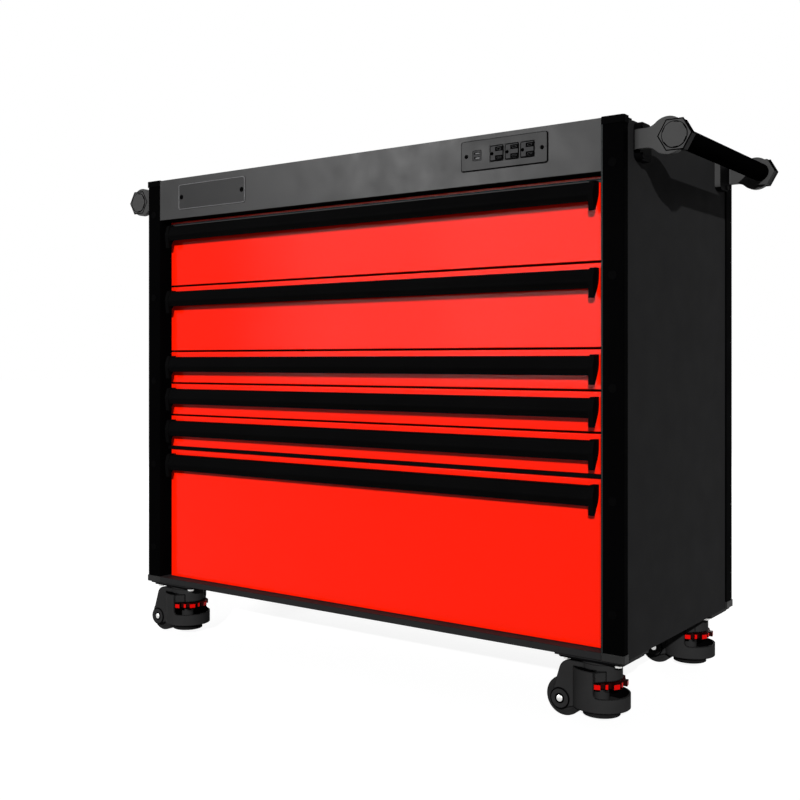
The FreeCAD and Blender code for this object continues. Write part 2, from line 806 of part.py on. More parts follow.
def make_bracket():
    """A bent plate: a pad on the side panel and an arm that ends in a jaw for the hexagon plug."""
    body = new_body("bracket")
    pad_end = bracket_face + bracket_length
    arm_low = handle_z - bracket_arm_height / 2
    arm_high = handle_z + bracket_arm_height / 2
    plan = [
        (panel_face, bracket_face, bracket_inner_bend + bracket_thickness),
        (jaw_x, bracket_face),
        (jaw_x, bracket_back),
        (pad_outer, bracket_back, bracket_inner_bend),
        (pad_outer, pad_end),
        (panel_face, pad_end),
    ]
    extrude(body, "XY", [plan], arm_low, arm_high)
    pad = rectangle(bracket_back, handle_z - bracket_pad_height / 2,
                    pad_end, handle_z + bracket_pad_height / 2, bracket_corner)
    extrude(body, "YZ", [pad], panel_face, pad_outer)
    reach = jaw_radius - jaw_flare_margin
    flare_x = jaw_x - reach * math.sin(FLARE_TURN)
    flare_z = reach * math.cos(FLARE_TURN)
    neck_x = jaw_x - (reach / math.cos(FLARE_TURN) - bracket_arm_height / 2) / math.tan(FLARE_TURN)
    outline = [(neck_x, arm_low), (flare_x, handle_z - flare_z),
               (flare_x, handle_z + flare_z), (neck_x, arm_high)]
    extrude(body, "XZ", [outline], bracket_face, bracket_back)
    extrude(body, "XZ", [(jaw_x, handle_z, jaw_radius)], bracket_face, bracket_back)
    round_corners(body, "XZ", [(neck_x, arm_low, bracket_neck_round),
                               (neck_x, arm_high, bracket_neck_round)])
    hexagon = regular_polygon(handle_x, handle_z, hex_radius, HEX_SIDES)
    cut(body, "XZ", [hexagon], bracket_face, bracket_back)
    group("handle_brackets", four_corners(body))


def make_handle():
    """The tube and the hexagon plugs that hold it in the brackets."""
    plug = new_body("hex_plug")
    hexagon = regular_polygon(handle_x, handle_z, hex_radius - hex_clearance, HEX_SIDES)
    extrude(plug, "XZ", [hexagon], bracket_face, bracket_face + hex_length)
    disc = (handle_x, handle_z, hex_disc_radius)
    extrude(plug, "XZ", [disc], bracket_face - hex_disc_thickness, bracket_face)
    tube = new_body("grip_tube")
    end = -(bracket_face + hex_length)
    extrude(tube, "XZ", [(handle_x, handle_z, handle_tube_radius)], -end, end)
    bore = (handle_x, handle_z, handle_tube_radius - handle_tube_wall)
    cut(tube, "XZ", [bore], -end, end)
    group("side_handles", four_corners(plug) + [tube, mirrored(tube)])


# Drawers

def make_slide_section(label, near_wall, far_wall, half_height, opens_in, length):
    """One channel of a slide, between two distances from the inner wall's face."""
    body = new_body(label)
    web = near_wall if opens_in else far_wall - slide_steel
    web_x = (wall_face - web, wall_face - web - slide_steel)
    lip_x = (wall_face - near_wall, wall_face - far_wall)
    inner = half_height - slide_steel
    x_open, x_web = (lip_x[1], web_x[1]) if opens_in else (lip_x[0], web_x[0])
    x_back = web_x[0] if opens_in else web_x[1]
    section = [
        (x_back, -half_height), (x_open, -half_height), (x_open, -inner), (x_web, -inner),
        (x_web, inner), (x_open, inner), (x_open, half_height), (x_back, half_height),
    ]
    start = box_front + drawer_gap / 2
    extrude(body, "XZ", [section], start, start + length)
    return body


def make_slides(drawers):
    """Fixed members on the inner walls, and a middle member that runs in each pair."""
    outer = make_slide_section("slide_outer", as_size(0), slide_lip, slide_half_height, True,
                               slide_length)
    middle_half = slide_half_height - slide_steel - slide_clearance
    middle = make_slide_section("slide_middle", slide_step, slide_lip + slide_step, middle_half, True,
                                slide_length)
    outers = []
    for number, (bottom, height) in drawers.items():
        centre = slide_centre(bottom, height)
        fixed = copy(outer, z=centre)
        outers += [fixed, mirrored(fixed)]
        moving = copy(middle, z=centre)
        group("slide_%d_middle" % number, [moving, mirrored(moving)])
    group("slide_outer_members", outers)


def slide_centre(bottom, height):
    return bottom + (height + box_foot_gap - box_head_gap) / 2


def make_drawer_box(number, bottom, height):
    """A folded tray with thicker hems round its top and the inner slide members on its sides."""
    body = new_body("drawer_%d_box" % number)
    low = bottom + box_foot_gap
    high = bottom + height - box_head_gap
    rear = box_front + drawer_gap / 2 + slide_length
    outer = box_half_width
    extrude(body, "XY", [rectangle(-outer, box_front, outer, rear)], low, high)
    hem = rectangle(-outer + box_hem, box_front + box_hem, outer - box_hem, rear - box_hem)
    cut(body, "XY", [hem], high - box_hem_height, high)
    inside = rectangle(-outer + box_wall, box_front + box_wall, outer - box_wall, rear - box_wall)
    cut(body, "XY", [inside], low + box_wall, high - box_hem_height)
    centre = slide_centre(bottom, height)
    half = slide_half_height - slide_steel * 2 - slide_clearance * 2
    start = box_front + drawer_gap / 2
    for side in (-1, 1):
        x_box = outer * side
        x_web = (outer + slide_steel) * side
        x_lip = (wall_face - slide_step * 2) * side
        section = [
            (x_box, centre - half), (x_lip, centre - half), (x_lip, centre - half + slide_steel),
            (x_web, centre - half + slide_steel), (x_web, centre + half - slide_steel),
            (x_lip, centre + half - slide_steel), (x_lip, centre + half), (x_box, centre + half),
        ]
        extrude(body, "XZ", [section], start, start + slide_length)


def make_drawer_front(number, bottom, height):
    """A folded pan: a face, four sides and return lips that bear on the box."""
    body = new_body("drawer_%d_front" % number)
    top = bottom + height
    side = front_half_width
    outline = rectangle(-side, bottom, side, top)
    extrude(body, "XZ", [outline], front_face, box_front)
    steel = sheet_steel
    lip_level = box_front - steel
    mouth = rectangle(-side + front_lip, bottom + front_lip, side - front_lip, top - front_lip)
    cut(body, "XZ", [mouth], lip_level, box_front)
    hollow = rectangle(-side + steel, bottom + steel, side - steel, top - steel)
    cut(body, "XZ", [hollow], front_face + steel, lip_level)
    round_face_edges(body)


def round_face_edges(body):
    """Rounds the outline of a drawer's face."""
    names = []
    for index, edge in enumerate(body.Shape.Edges):
        if all(abs(vertex.Point.y - front_face.value) < TOLERANCE for vertex in edge.Vertexes):
            names.append("Edge%d" % (index + 1))
    base = body.Tip
    fillet = body.newObject("PartDesign::Fillet", "rounding")
    fillet.Base = (base, names)
    fillet.setExpression("Radius", front_round.text)
    recompute_and_check(body)


def pull_section():
    """The pull's hooked section, level with the top edge of a front at height zero."""
    top = -pull_drop
    bottom = top - pull_height
    crest = front_plane + pull_crest
    nose = top - pull_nose_drop
    wall = pull_wall
    return [
        (front_face, top),
        (crest, top, pull_shoulder_round),
        (front_plane, nose, pull_nose_round),
        (front_plane + pull_curl, bottom),
        (front_plane + pull_curl + wall, bottom + pull_curl_rise),
        (front_plane + wall, nose, pull_nose_round - wall),
        (crest + wall / 2, top - wall, pull_shoulder_round - wall),
        (front_face - wall, top - wall),
        (front_face - wall, top - pull_leg),
        (front_face, top - pull_leg),
    ]


def end_cap_section():
    """The pull's end cap, whose tail reaches below the pull in a curve."""
    top = -pull_drop + end_cap_rise
    bottom = -pull_drop - pull_height - end_cap_tail
    tip = front_plane + end_cap_tip
    return [
        (front_face, top),
        (front_plane + pull_crest - end_cap_rise / 2, top, end_cap_shoulder_round),
        (front_plane, top - pull_nose_drop, pull_nose_round),
        (tip, bottom, end_cap_tip_round),
        (tip + end_cap_tip, bottom, end_cap_tip_round),
        (front_face, top - end_cap_heel, end_cap_heel_round),
    ]


def make_pulls(drawers):
    extrusion = new_body("pull_extrusion")
    reach = front_half_width - pull_margin
    extrude(extrusion, "YZ", [pull_section()], -reach, reach)
    cap = new_body("pull_end_cap")
    extrude(cap, "YZ", [end_cap_section()], reach, reach + end_cap_thickness)
    pieces = [extrusion, cap, mirrored(cap)]
    pattern = group("pull_pattern", pieces)
    for number, (bottom, height) in drawers.items():
        pull = copy(pattern, z=bottom + height)
        pull.Label = "drawer_%d_pull" % number


def drawer_places():
    """Each drawer's front, numbered from the top, as its bottom edge and its height."""
    places = {
        1: (middle_bottom + middle_step, middle_front_height),
        2: (middle_bottom, middle_front_height),
    }
    for row in range(3):
        places[3 + row] = (shallow_bottom + shallow_step * (2 - row), shallow_front_height)
    places[6] = (deep_bottom, deep_front_height)
    return places


# Casters
caster_x = half_width - caster_inset_x
caster_y = half_depth - caster_inset_y
caster_plate_top = pad_thickness
caster_plate_bottom = caster_plate_top + caster_plate_thickness
head_top = caster_plate_bottom + swivel_gap
axle_drop = base_height - wheel_radius
foot_bottom = base_height - foot_clearance
thumb_bottom = thumb_top + thumb_height


def bolt_spots():
    """The plan places of all caster bolts."""
    spots = []
    for side_x in (-1, 1):
        for side_y in (-1, 1):
            for bolt_x in (-1, 1):
                for bolt_y in (-1, 1):
                    spots.append((caster_x * side_x + bolt_spread_x * (bolt_x / 2),
                                  caster_y * side_y + bolt_spread_y * (bolt_y / 2)))
    return spots


def make_caster_plate():
    """The bolted plate with the kingpin that the caster turns on."""
    body = new_body("caster_plate")
    x, y = plate_length / 2, plate_depth / 2
    x_cut, y_cut = x - caster_plate_corner, y - caster_plate_corner
    plan = [(-x_cut, -y), (x_cut, -y), (x, -y_cut), (x, y_cut),
            (x_cut, y), (-x_cut, y), (-x, y_cut), (-x, -y_cut)]
    extrude(body, "XY", [plan], -caster_plate_bottom, -caster_plate_top)
    extrude(body, "XY", [(0, 0, kingpin_radius)], -kingpin_bottom, -caster_plate_bottom)
    return body


def make_caster_housing():
    """The moulded housing: a head, a windowed cup, a forked hood and the axle pin fixed in it."""
    body = new_body("caster_housing")
    half_well = wheel_width / 2 + wheel_gap
    half_fork = half_well + fork_thickness
    half_hub = half_fork + hub_disc_thickness
    axle_x = -wheel_reach
    hood = [
        (0, -hood_top), (-hood_crown, -hood_top, hood_round),
        (axle_x - hub_disc_radius, -axle_drop), (axle_x, -axle_drop - hub_disc_radius),
        (-head_radius, -cup_bottom), (0, -cup_bottom),
    ]
    extrude(body, "XZ", [hood], -half_fork, half_fork)
    extrude(body, "XZ", [(axle_x, -axle_drop, hub_disc_radius)], -half_hub, half_hub)
    extrude(body, "XY", [(0, 0, cup_radius)], -cup_bottom, -cup_high_top)
    past = cup_radius + window_edge
    window = rectangle(window_start, -cup_low_top, past, -cup_high_top)
    cut(body, "XZ", [window], -past, past)
    round_corners(body, "XZ", [(window_start, -cup_low_top, window_round)])
    extrude(body, "XY", [(0, 0, head_radius)], -head_bottom, -head_top)
    ring_space = (thumb_lug_radius + thumb_side_gap) / math.cos(math.pi / HOLLOW_SIDES)
    hollow = regular_polygon(0, 0, ring_space, HOLLOW_SIDES)
    ledge = -thumb_bottom - thumb_end_gap
    cut(body, "XY", [hollow], ledge, -head_bottom)
    cut(body, "XY", [hollow, (0, 0, boss_radius)], cup_wall - cup_bottom, ledge)
    well_radius = wheel_radius + wheel_gap
    cut(body, "XZ", [(axle_x, -axle_drop, well_radius)], -half_well, half_well)
    mouth = rectangle(axle_x - well_radius, -cup_bottom - hub_disc_radius, axle_x + well_radius,
                      -axle_drop)
    cut(body, "XZ", [mouth], -half_well, half_well)
    extrude(body, "XZ", [(axle_x, -axle_drop, axle_radius)], -half_hub, half_hub)
    cut(body, "XY", [(0, 0, kingpin_radius + running_fit)], -kingpin_bottom - swivel_gap, -head_top)
    cut(body, "XY", [(0, 0, stem_radius + plate_gap)], -cup_bottom, -stem_top + swivel_gap)
    return body


def make_wheel():
    """The wheel, bevelled at both edges of its tread and bored for the axle."""
    body = new_body("caster_wheel")
    half = wheel_width / 2
    extrude(body, "XZ", [regular_polygon(0, 0, wheel_radius, TREAD_SIDES)], -half, half)
    bevel_ends(body, "y", [-half, half], wheel_edge_bevel)
    cut(body, "XZ", [(0, 0, axle_radius + running_fit)], -half, half)
    return body


def make_thumb_wheel():
    """The lugged nut ring that raises and lowers the foot."""
    body = new_body("caster_thumb_wheel")
    outline = []
    step = 2 * math.pi / LUGS
    for index in range(LUGS):
        middle = step * index
        for share, radius in ((-0.5 + LUG_SHARE / 2, thumb_radius), (-LUG_SHARE / 2, thumb_lug_radius),
                              (LUG_SHARE / 2, thumb_lug_radius), (0.5 - LUG_SHARE / 2, thumb_radius)):
            turn = middle + share * step
            outline.append((radius * math.cos(turn), radius * math.sin(turn)))
    extrude(body, "XY", [outline], -thumb_bottom, -thumb_top)
    bore = (0, 0, stem_radius + running_fit * 2)
    cut(body, "XY", [bore], -thumb_bottom, -thumb_top)
    return body


def make_foot():
    """The levelling foot and its screw stem."""
    body = new_body("caster_foot")
    top = foot_height - foot_bottom
    extrude(body, "XY", [regular_polygon(0, 0, foot_radius, TREAD_SIDES)], -foot_bottom, top)
    bevel_ends(body, "z", [top], foot_bevel)
    extrude(body, "XY", [(0, 0, stem_radius)], top, -stem_top)
    return body


def make_casters():
    plate = make_caster_plate()
    housing = make_caster_housing()
    wheel = make_wheel()
    thumb_wheel = make_thumb_wheel()
    foot = make_foot()
    corners = {
        "front_left": (-1, -1), "front_right": (1, -1), "rear_left": (-1, 1), "rear_right": (1, 1),
    }
    plates = []
    for name, (side_x, side_y) in corners.items():
        x, y = caster_x * side_x, caster_y * side_y
        plates.append(copy(plate, x, y, base_height))
        copy(housing, x, y, base_height).Label = "caster_%s_housing" % name
        copy(wheel, x - wheel_reach, y, wheel_radius).Label = "caster_%s_wheel" % name
        copy(thumb_wheel, x, y, base_height).Label = "caster_%s_thumb_wheel" % name
        copy(foot, x, y, base_height).Label = "caster_%s_foot" % name
    group("caster_plates", plates)


# Fasteners and the cord gland

def make_fasteners():
    """The heads of the caster bolts and of the bracket bolts."""
    bolt = new_body("caster_bolt")
    head = regular_polygon(0, 0, bolt_head_radius, HEX_SIDES)
    extrude(bolt, "XY", [head], -caster_plate_bottom - bolt_head_height, -caster_plate_bottom)
    pieces = [copy(bolt, x, y, base_height) for x, y in bolt_spots()]
    bracket_bolt = new_body("bracket_bolt")
    bolt_y = bracket_back + bracket_bolt_margin
    head = regular_polygon(bolt_y, handle_z - bracket_bolt_spread / 2, bracket_bolt_radius, HEX_SIDES)
    extrude(bracket_bolt, "YZ", [head], pad_outer, pad_outer + bracket_bolt_height)
    upper = copy(bracket_bolt, z=bracket_bolt_spread)
    pieces += four_corners(group("bracket_bolts", [bracket_bolt, upper]))
    group("fasteners", pieces)


def make_cord_gland():
    """The closed gland on the back panel: a hexagon nut and a round cap."""
    body = new_body("cord_gland")
    z = body_top - gland_drop
    level = rear_plane - post_rear_return + sheet_steel
    nut = regular_polygon(gland_centre_x, z, gland_radius, HEX_SIDES)
    extrude(body, "XZ", [nut], level, level + gland_nut_height)
    dome = (gland_centre_x, z, gland_dome_radius)
    extrude(body, "XZ", [dome], level + gland_nut_height, level + gland_dome_height)


def make_all():
    drawers = drawer_places()
    make_posts_and_trim()
    make_side_panel()
    make_inner_wall()
    make_top()
    make_fascia()
    make_base_frame()
    make_back_and_divider()
    make_plates()
    make_outlets()
    make_bracket()
    make_handle()
    make_slides(drawers)
    for number, (bottom, height) in drawers.items():
        make_drawer_box(number, bottom, height)
        make_drawer_front(number, bottom, height)
    make_pulls(drawers)
    make_casters()
    make_fasteners()
    make_cord_gland()


def node_names():
    """Every sub-part, in the order of its file."""
    names = [
        "corner_posts", "post_trim", "side_panel_left", "side_panel_right", "inner_walls",
        "back_panel", "top_panel", "top_mat", "fascia", "base_frame", "divider_rail",
        "slide_outer_members", "name_plate", "outlet_plate", "outlet_inserts", "handle_brackets",
        "side_handles", "fasteners", "caster_plates", "cord_gland",
    ]
    for number in drawer_places():
        names += ["drawer_%d_%s" % (number, piece) for piece in ("box", "front", "pull")]
        names.append("slide_%d_middle" % number)
    for corner in ("front_left", "front_right", "rear_left", "rear_right"):
        names += ["caster_%s_%s" % (corner, piece)
                  for piece in ("housing", "wheel", "thumb_wheel", "foot")]
    return names


make_all()
document.recompute()
os.makedirs("parts", exist_ok=True)
for item in document.Objects:
    if "Invalid" in item.State or "Error" in item.State:
        raise RuntimeError("broken object: " + item.Label)
for name in node_names():
    item = document.getObjectsByLabel(name)[0]
    if item.Shape.isNull() or not item.Shape.isValid():
        raise RuntimeError("bad shape: " + name)
    item.Shape.exportStep("parts/%s.step" % name)
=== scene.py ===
import json
import math

import bmesh
import bpy
from mathutils import Matrix, Vector


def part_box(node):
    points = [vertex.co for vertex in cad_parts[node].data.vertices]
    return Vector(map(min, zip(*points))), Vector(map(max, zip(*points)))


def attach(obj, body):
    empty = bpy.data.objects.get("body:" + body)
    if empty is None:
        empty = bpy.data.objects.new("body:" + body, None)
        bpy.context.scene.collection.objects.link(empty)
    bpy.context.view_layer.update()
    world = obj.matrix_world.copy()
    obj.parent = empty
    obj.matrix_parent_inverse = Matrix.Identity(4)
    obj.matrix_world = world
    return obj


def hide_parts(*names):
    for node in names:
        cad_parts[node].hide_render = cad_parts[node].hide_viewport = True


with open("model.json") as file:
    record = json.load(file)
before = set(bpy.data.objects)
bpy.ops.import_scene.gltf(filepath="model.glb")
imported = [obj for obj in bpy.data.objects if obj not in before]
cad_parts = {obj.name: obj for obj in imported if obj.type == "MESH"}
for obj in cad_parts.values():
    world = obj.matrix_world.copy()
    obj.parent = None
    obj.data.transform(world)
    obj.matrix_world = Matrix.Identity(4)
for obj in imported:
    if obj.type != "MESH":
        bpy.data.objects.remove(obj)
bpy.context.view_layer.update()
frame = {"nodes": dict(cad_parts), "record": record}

# Lengths are metres. X is right, Y is back, and Z is up from the floor.

CORNERS = {"front_left": (-1, -1), "front_right": (1, -1), "rear_left": (-1, 1), "rear_right": (1, 1)}
DRAWERS = range(1, 7)
SIDES = (-1, 1)
TO_FRONT = (0, -1, 0)
TO_BACK = (0, 1, 0)
UPWARD = (0, 0, 1)

# Camera and light. Each of CARDS is its X, its Y and its width.

CAMERA_PLACE = (1.39107, -2.01352, 0.6509)
CAMERA_TURN = math.radians(35.93)
CAMERA_LENS = 48.58
CAMERA_SENSOR = 36
CAMERA_SHIFT = -0.0494
WHITE = (1, 1, 1, 1)
FILL_STRENGTH = 0.10
KEY_DIRECTION = Vector((0.4256, -0.8348, 0.3492))
KEY_DISTANCE = 5
KEY_STRENGTH = 3.5
KEY_SOFTNESS = math.radians(0.9)
CARDS = {"wide_card": (-1.85, -3.40, 2.9), "middle_card": (-1.6, -3.35, 2.6),
         "near_card": (-1.05, -3.30, 1.5)}
CARD_LEVEL = 1.35
CARD_HEIGHT = 1.7
CARD_RADIANCE = 2.2
HIGH_CARD_PLACE = (-2.0, -3.25, 2.05)
HIGH_CARD_SIZE = (1.1, 0.6)
HIGH_CARD_RADIANCE = 34
REAR_SOFTBOX = dict(place=(-2.2, 4.2, 2.2), target=(0, 0.3, 0.5), width=3.2, height=2.2, radiance=7)
LEFT_SOFTBOX = dict(place=(-4.4, 0.8, 1.6), target=(-0.6, 0, 0.6), width=2.0, height=2.0, radiance=4)
FLOOR_COLOUR = (0.27, 0.27, 0.27, 1)
FLOOR_GLOW = 0.88
FLOOR_SIZE = 60


def make_camera():
    camera = bpy.data.objects.new("camera", bpy.data.cameras.new("camera"))
    camera.location = CAMERA_PLACE
    camera.rotation_euler = (math.pi / 2, 0, CAMERA_TURN)
    camera.data.lens = CAMERA_LENS
    camera.data.sensor_width = CAMERA_SENSOR
    camera.data.shift_y = CAMERA_SHIFT
    bpy.context.scene.collection.objects.link(camera)
    bpy.context.scene.camera = camera


def seen_rays(tree):
    """1 for what the camera, a reflection or glass sees, and 0 for diffuse light."""
    path = tree.nodes.new("ShaderNodeLightPath")
    reflected = tree.nodes.new("ShaderNodeMath")
    reflected.operation = "MAXIMUM"
    seen = tree.nodes.new("ShaderNodeMath")
    seen.operation = "MAXIMUM"
    tree.links.new(path.outputs["Is Camera Ray"], reflected.inputs[0])
    tree.links.new(path.outputs["Is Glossy Ray"], reflected.inputs[1])
    tree.links.new(reflected.outputs[0], seen.inputs[0])
    tree.links.new(path.outputs["Is Transmission Ray"], seen.inputs[1])
    return seen.outputs[0]


def make_world():
    """White to look at and in reflections, and a faint fill for everything else."""
    world = bpy.data.worlds.new("studio")
    bpy.context.scene.world = world
    world.use_nodes = True
    tree = world.node_tree
    tree.nodes.clear()
    fill = tree.nodes.new("ShaderNodeBackground")
    fill.inputs["Color"].default_value = WHITE
    fill.inputs["Strength"].default_value = FILL_STRENGTH
    white = tree.nodes.new("ShaderNodeBackground")
    white.inputs["Color"].default_value = WHITE
    mix = tree.nodes.new("ShaderNodeMixShader")
    output = tree.nodes.new("ShaderNodeOutputWorld")
    tree.links.new(seen_rays(tree), mix.inputs[0])
    tree.links.new(fill.outputs[0], mix.inputs[1])
    tree.links.new(white.outputs[0], mix.inputs[2])
    tree.links.new(mix.outputs[0], output.inputs["Surface"])


def aim(item, place, target):
    """Puts a lamp at a place and turns it to a target."""
    item.location = place
    item.rotation_mode = "QUATERNION"
    item.rotation_quaternion = (Vector(target) - Vector(place)).to_track_quat("-Z", "Y")


def make_softbox(name, place, target, width, height, radiance, gloss_only=False):
    """A soft rectangular lamp, or a card that shows only in reflections."""
    lamp = bpy.data.lights.new(name, "AREA")
    lamp.shape = "RECTANGLE"
    lamp.size = width
    lamp.size_y = height
    lamp.energy = radiance * math.pi * width * height
    item = bpy.data.objects.new(name, lamp)
    item.visible_camera = False
    item.visible_diffuse = not gloss_only
    bpy.context.scene.collection.objects.link(item)
    aim(item, place, target)


def make_lamps():
    """A key lamp, cards that reflect in the upper drawers, and soft lamps behind and on the left."""
    key = bpy.data.lights.new("key", "SUN")
    key.energy = KEY_STRENGTH
    key.angle = KEY_SOFTNESS
    item = bpy.data.objects.new("key", key)
    bpy.context.scene.collection.objects.link(item)
    aim(item, KEY_DIRECTION * KEY_DISTANCE, (0, 0, 0))
    for name, (x, y, width) in CARDS.items():
        make_softbox(name, (x, y, CARD_LEVEL), (x, 0, CARD_LEVEL), width, CARD_HEIGHT, CARD_RADIANCE,
                     gloss_only=True)
    x, _, z = HIGH_CARD_PLACE
    make_softbox("high_card", HIGH_CARD_PLACE, (x, 0, z), *HIGH_CARD_SIZE, HIGH_CARD_RADIANCE,
                 gloss_only=True)
    make_softbox("rear_softbox", **REAR_SOFTBOX)
    make_softbox("left_softbox", **LEFT_SOFTBOX)


def make_floor():
    """A pale floor that keeps the shadow and glows only to the eye and in reflections."""
    builder = bmesh.new()
    half = FLOOR_SIZE / 2
    corners = [(x * half, y * half, 0) for x, y in ((-1, -1), (1, -1), (1, 1), (-1, 1))]
    builder.faces.new([builder.verts.new(corner) for corner in corners])
    mesh = bpy.data.meshes.new("floor")
    builder.to_mesh(mesh)
    builder.free()
    floor = bpy.data.objects.new("floor", mesh)
    bpy.context.scene.collection.objects.link(floor)
    material = bpy.data.materials.new("floor")
    material.use_nodes = True
    tree = material.node_tree
    tree.nodes.clear()
    paint = tree.nodes.new("ShaderNodeBsdfDiffuse")
    paint.inputs["Color"].default_value = FLOOR_COLOUR
    glow = tree.nodes.new("ShaderNodeEmission")
    strength = tree.nodes.new("ShaderNodeMath")
    strength.operation = "MULTIPLY"
    strength.inputs[1].default_value = FLOOR_GLOW
    total = tree.nodes.new("ShaderNodeAddShader")
    output = tree.nodes.new("ShaderNodeOutputMaterial")
    tree.links.new(seen_rays(tree), strength.inputs[0])
    tree.links.new(strength.outputs[0], glow.inputs["Strength"])
    tree.links.new(paint.outputs[0], total.inputs[0])
    tree.links.new(glow.outputs[0], total.inputs[1])
    tree.links.new(total.outputs[0], output.inputs["Surface"])
    floor.data.materials.append(material)


# Materials. MIX_COLOURS and MIX_RESULT are the Mix node's sockets for colours.

BEVEL_SAMPLES = 3
EDGE_SPAN = (0.98, 0.86)
WIDE_EDGE_SPAN = (0.99403, 0.96)
CLOUD_SPAN = (0.3, 0.7)
EDGE_PATCH_SCALE = 140
EDGE_PATCH_SPAN = (0.35, 0.65)
SHEEN_FINER = 3
WAVE_PERIOD = math.pi / 10
MIX_COLOURS = (6, 7)
MIX_RESULT = 2


class Nodes:
    """Short ways to add shader nodes to one material."""

    def __init__(self, name):
        self.material = bpy.data.materials.new(name)
        self.material.use_nodes = True
        self.tree = self.material.node_tree
        self.shader = self.tree.nodes["Principled BSDF"]
        coordinates = self.tree.nodes.new("ShaderNodeTexCoord")
        self.place = coordinates.outputs["Object"]

    def link(self, source, target):
        self.tree.links.new(source, target)

    def stretched(self, scale):
        """The object's own coordinates, scaled by a number or along three axes."""
        mapping = self.tree.nodes.new("ShaderNodeMapping")
        mapping.inputs["Scale"].default_value = scale if hasattr(scale, "__len__") else (scale,) * 3
        self.link(self.place, mapping.inputs["Vector"])
        return mapping.outputs[0]

    def noise(self, scale, detail=2.0):
        noise = self.tree.nodes.new("ShaderNodeTexNoise")
        noise.inputs["Scale"].default_value = 1
        noise.inputs["Detail"].default_value = detail
        self.link(self.stretched(scale), noise.inputs["Vector"])
        return noise.outputs["Fac"]

    def cells(self, scale):
        """The distance to the nearest of many scattered points."""
        cells = self.tree.nodes.new("ShaderNodeTexVoronoi")
        cells.inputs["Scale"].default_value = 1
        self.link(self.stretched(scale), cells.inputs["Vector"])
        return cells.outputs["Distance"]

    def bands(self, pitch):
        """A smooth wave of the given pitch along Z."""
        wave = self.tree.nodes.new("ShaderNodeTexWave")
        wave.wave_type = "BANDS"
        wave.bands_direction = "Z"
        wave.inputs["Scale"].default_value = 1
        wave.inputs["Distortion"].default_value = 0
        self.link(self.stretched(WAVE_PERIOD / pitch), wave.inputs["Vector"])
        return wave.outputs["Fac"]

    def spread(self, value, low, high, to_low=0.0, to_high=1.0):
        """Maps low..high of value to to_low..to_high."""
        span = self.tree.nodes.new("ShaderNodeMapRange")
        limits = {"From Min": low, "From Max": high, "To Min": to_low, "To Max": to_high}
        for socket, number in limits.items():
            span.inputs[socket].default_value = number
        self.link(value, span.inputs["Value"])
        return span.outputs[0]

    def times(self, first, second):
        product = self.tree.nodes.new("ShaderNodeMath")
        product.operation = "MULTIPLY"
        self.link(first, product.inputs[0])
        self.link(second, product.inputs[1])
        return product.outputs[0]

    def blend(self, factor, first, second):
        """A colour between two, each given as three numbers or as a socket."""
        mix = self.tree.nodes.new("ShaderNodeMix")
        mix.data_type = "RGBA"
        self.link(factor, mix.inputs[0])
        for index, colour in zip(MIX_COLOURS, (first, second)):
            if isinstance(colour, bpy.types.NodeSocket):
                self.link(colour, mix.inputs[index])
            else:
                mix.inputs[index].default_value = (*colour, 1)
        return mix.outputs[MIX_RESULT]

    def edges(self, radius, span=EDGE_SPAN):
        """(normal rounded over that radius, mask that is 1 on edges).

        The mask goes from 0 to 1 as the cosine between the rounded normal and the true one falls over span.
        """
        bevel = self.tree.nodes.new("ShaderNodeBevel")
        bevel.samples = BEVEL_SAMPLES
        bevel.inputs["Radius"].default_value = radius
        geometry = self.tree.nodes.new("ShaderNodeNewGeometry")
        cosine = self.tree.nodes.new("ShaderNodeVectorMath")
        cosine.operation = "DOT_PRODUCT"
        self.link(bevel.outputs[0], cosine.inputs[0])
        self.link(geometry.outputs["Normal"], cosine.inputs[1])
        return bevel.outputs[0], self.spread(cosine.outputs["Value"], *span)

    def bump(self, height, strength, distance, normal):
        """The normal roughened by a height."""
        bump = self.tree.nodes.new("ShaderNodeBump")
        bump.inputs["Strength"].default_value = strength
        bump.inputs["Distance"].default_value = distance
        self.link(height, bump.inputs["Height"])
        self.link(normal, bump.inputs["Normal"])
        return bump.outputs[0]


def shades(colour, share):
    """A colour made darker and lighter by the same share."""
    return [tuple(channel * factor for channel in colour) for factor in (1 - share, 1 + share)]


def make_finish(name, colour, edge_wear_and_painted_light, roughness, specular=0.2, metallic=0.0, mottling=0.08, cloud=6,
                edge=0.0006, edge_share=0.5, edge_least=0.0, edge_span=EDGE_SPAN, grains=(),
                roughness_spread=0.06):
    """A painted, moulded or plated surface: clouded colour, edges of their own colour (worn on most
    finishes, painted dark shade lines on the rail, brackets and caster nylon, a painted highlight on the
    post caps), and a list of bumps.
    """
    made = Nodes(name)
    shader = made.shader
    shader.inputs["Metallic"].default_value = metallic
    shader.inputs["Specular IOR Level"].default_value = specular
    dark, light = shades(colour, mottling)
    paint = made.blend(made.spread(made.noise(cloud, detail=3), *CLOUD_SPAN), dark, light)
    normal, mask = made.edges(edge, edge_span)
    patches = made.spread(made.noise(EDGE_PATCH_SCALE, detail=3), *EDGE_PATCH_SPAN, edge_least, edge_share)
    made.link(made.blend(made.times(mask, patches), paint, edge_wear_and_painted_light), shader.inputs["Base Color"])
    dull = made.spread(made.noise(cloud * SHEEN_FINER, detail=4), *CLOUD_SPAN,
                       roughness - roughness_spread, roughness + roughness_spread)
    made.link(dull, shader.inputs["Roughness"])
    for kind, scale, strength, distance in grains:
        if kind == "cells":
            height = made.cells(scale)
        elif kind == "bands":
            height = made.bands(scale)
        else:
            height = made.noise(scale)
        normal = made.bump(height, strength, distance, normal)
    made.link(normal, shader.inputs["Normal"])
    return made.material


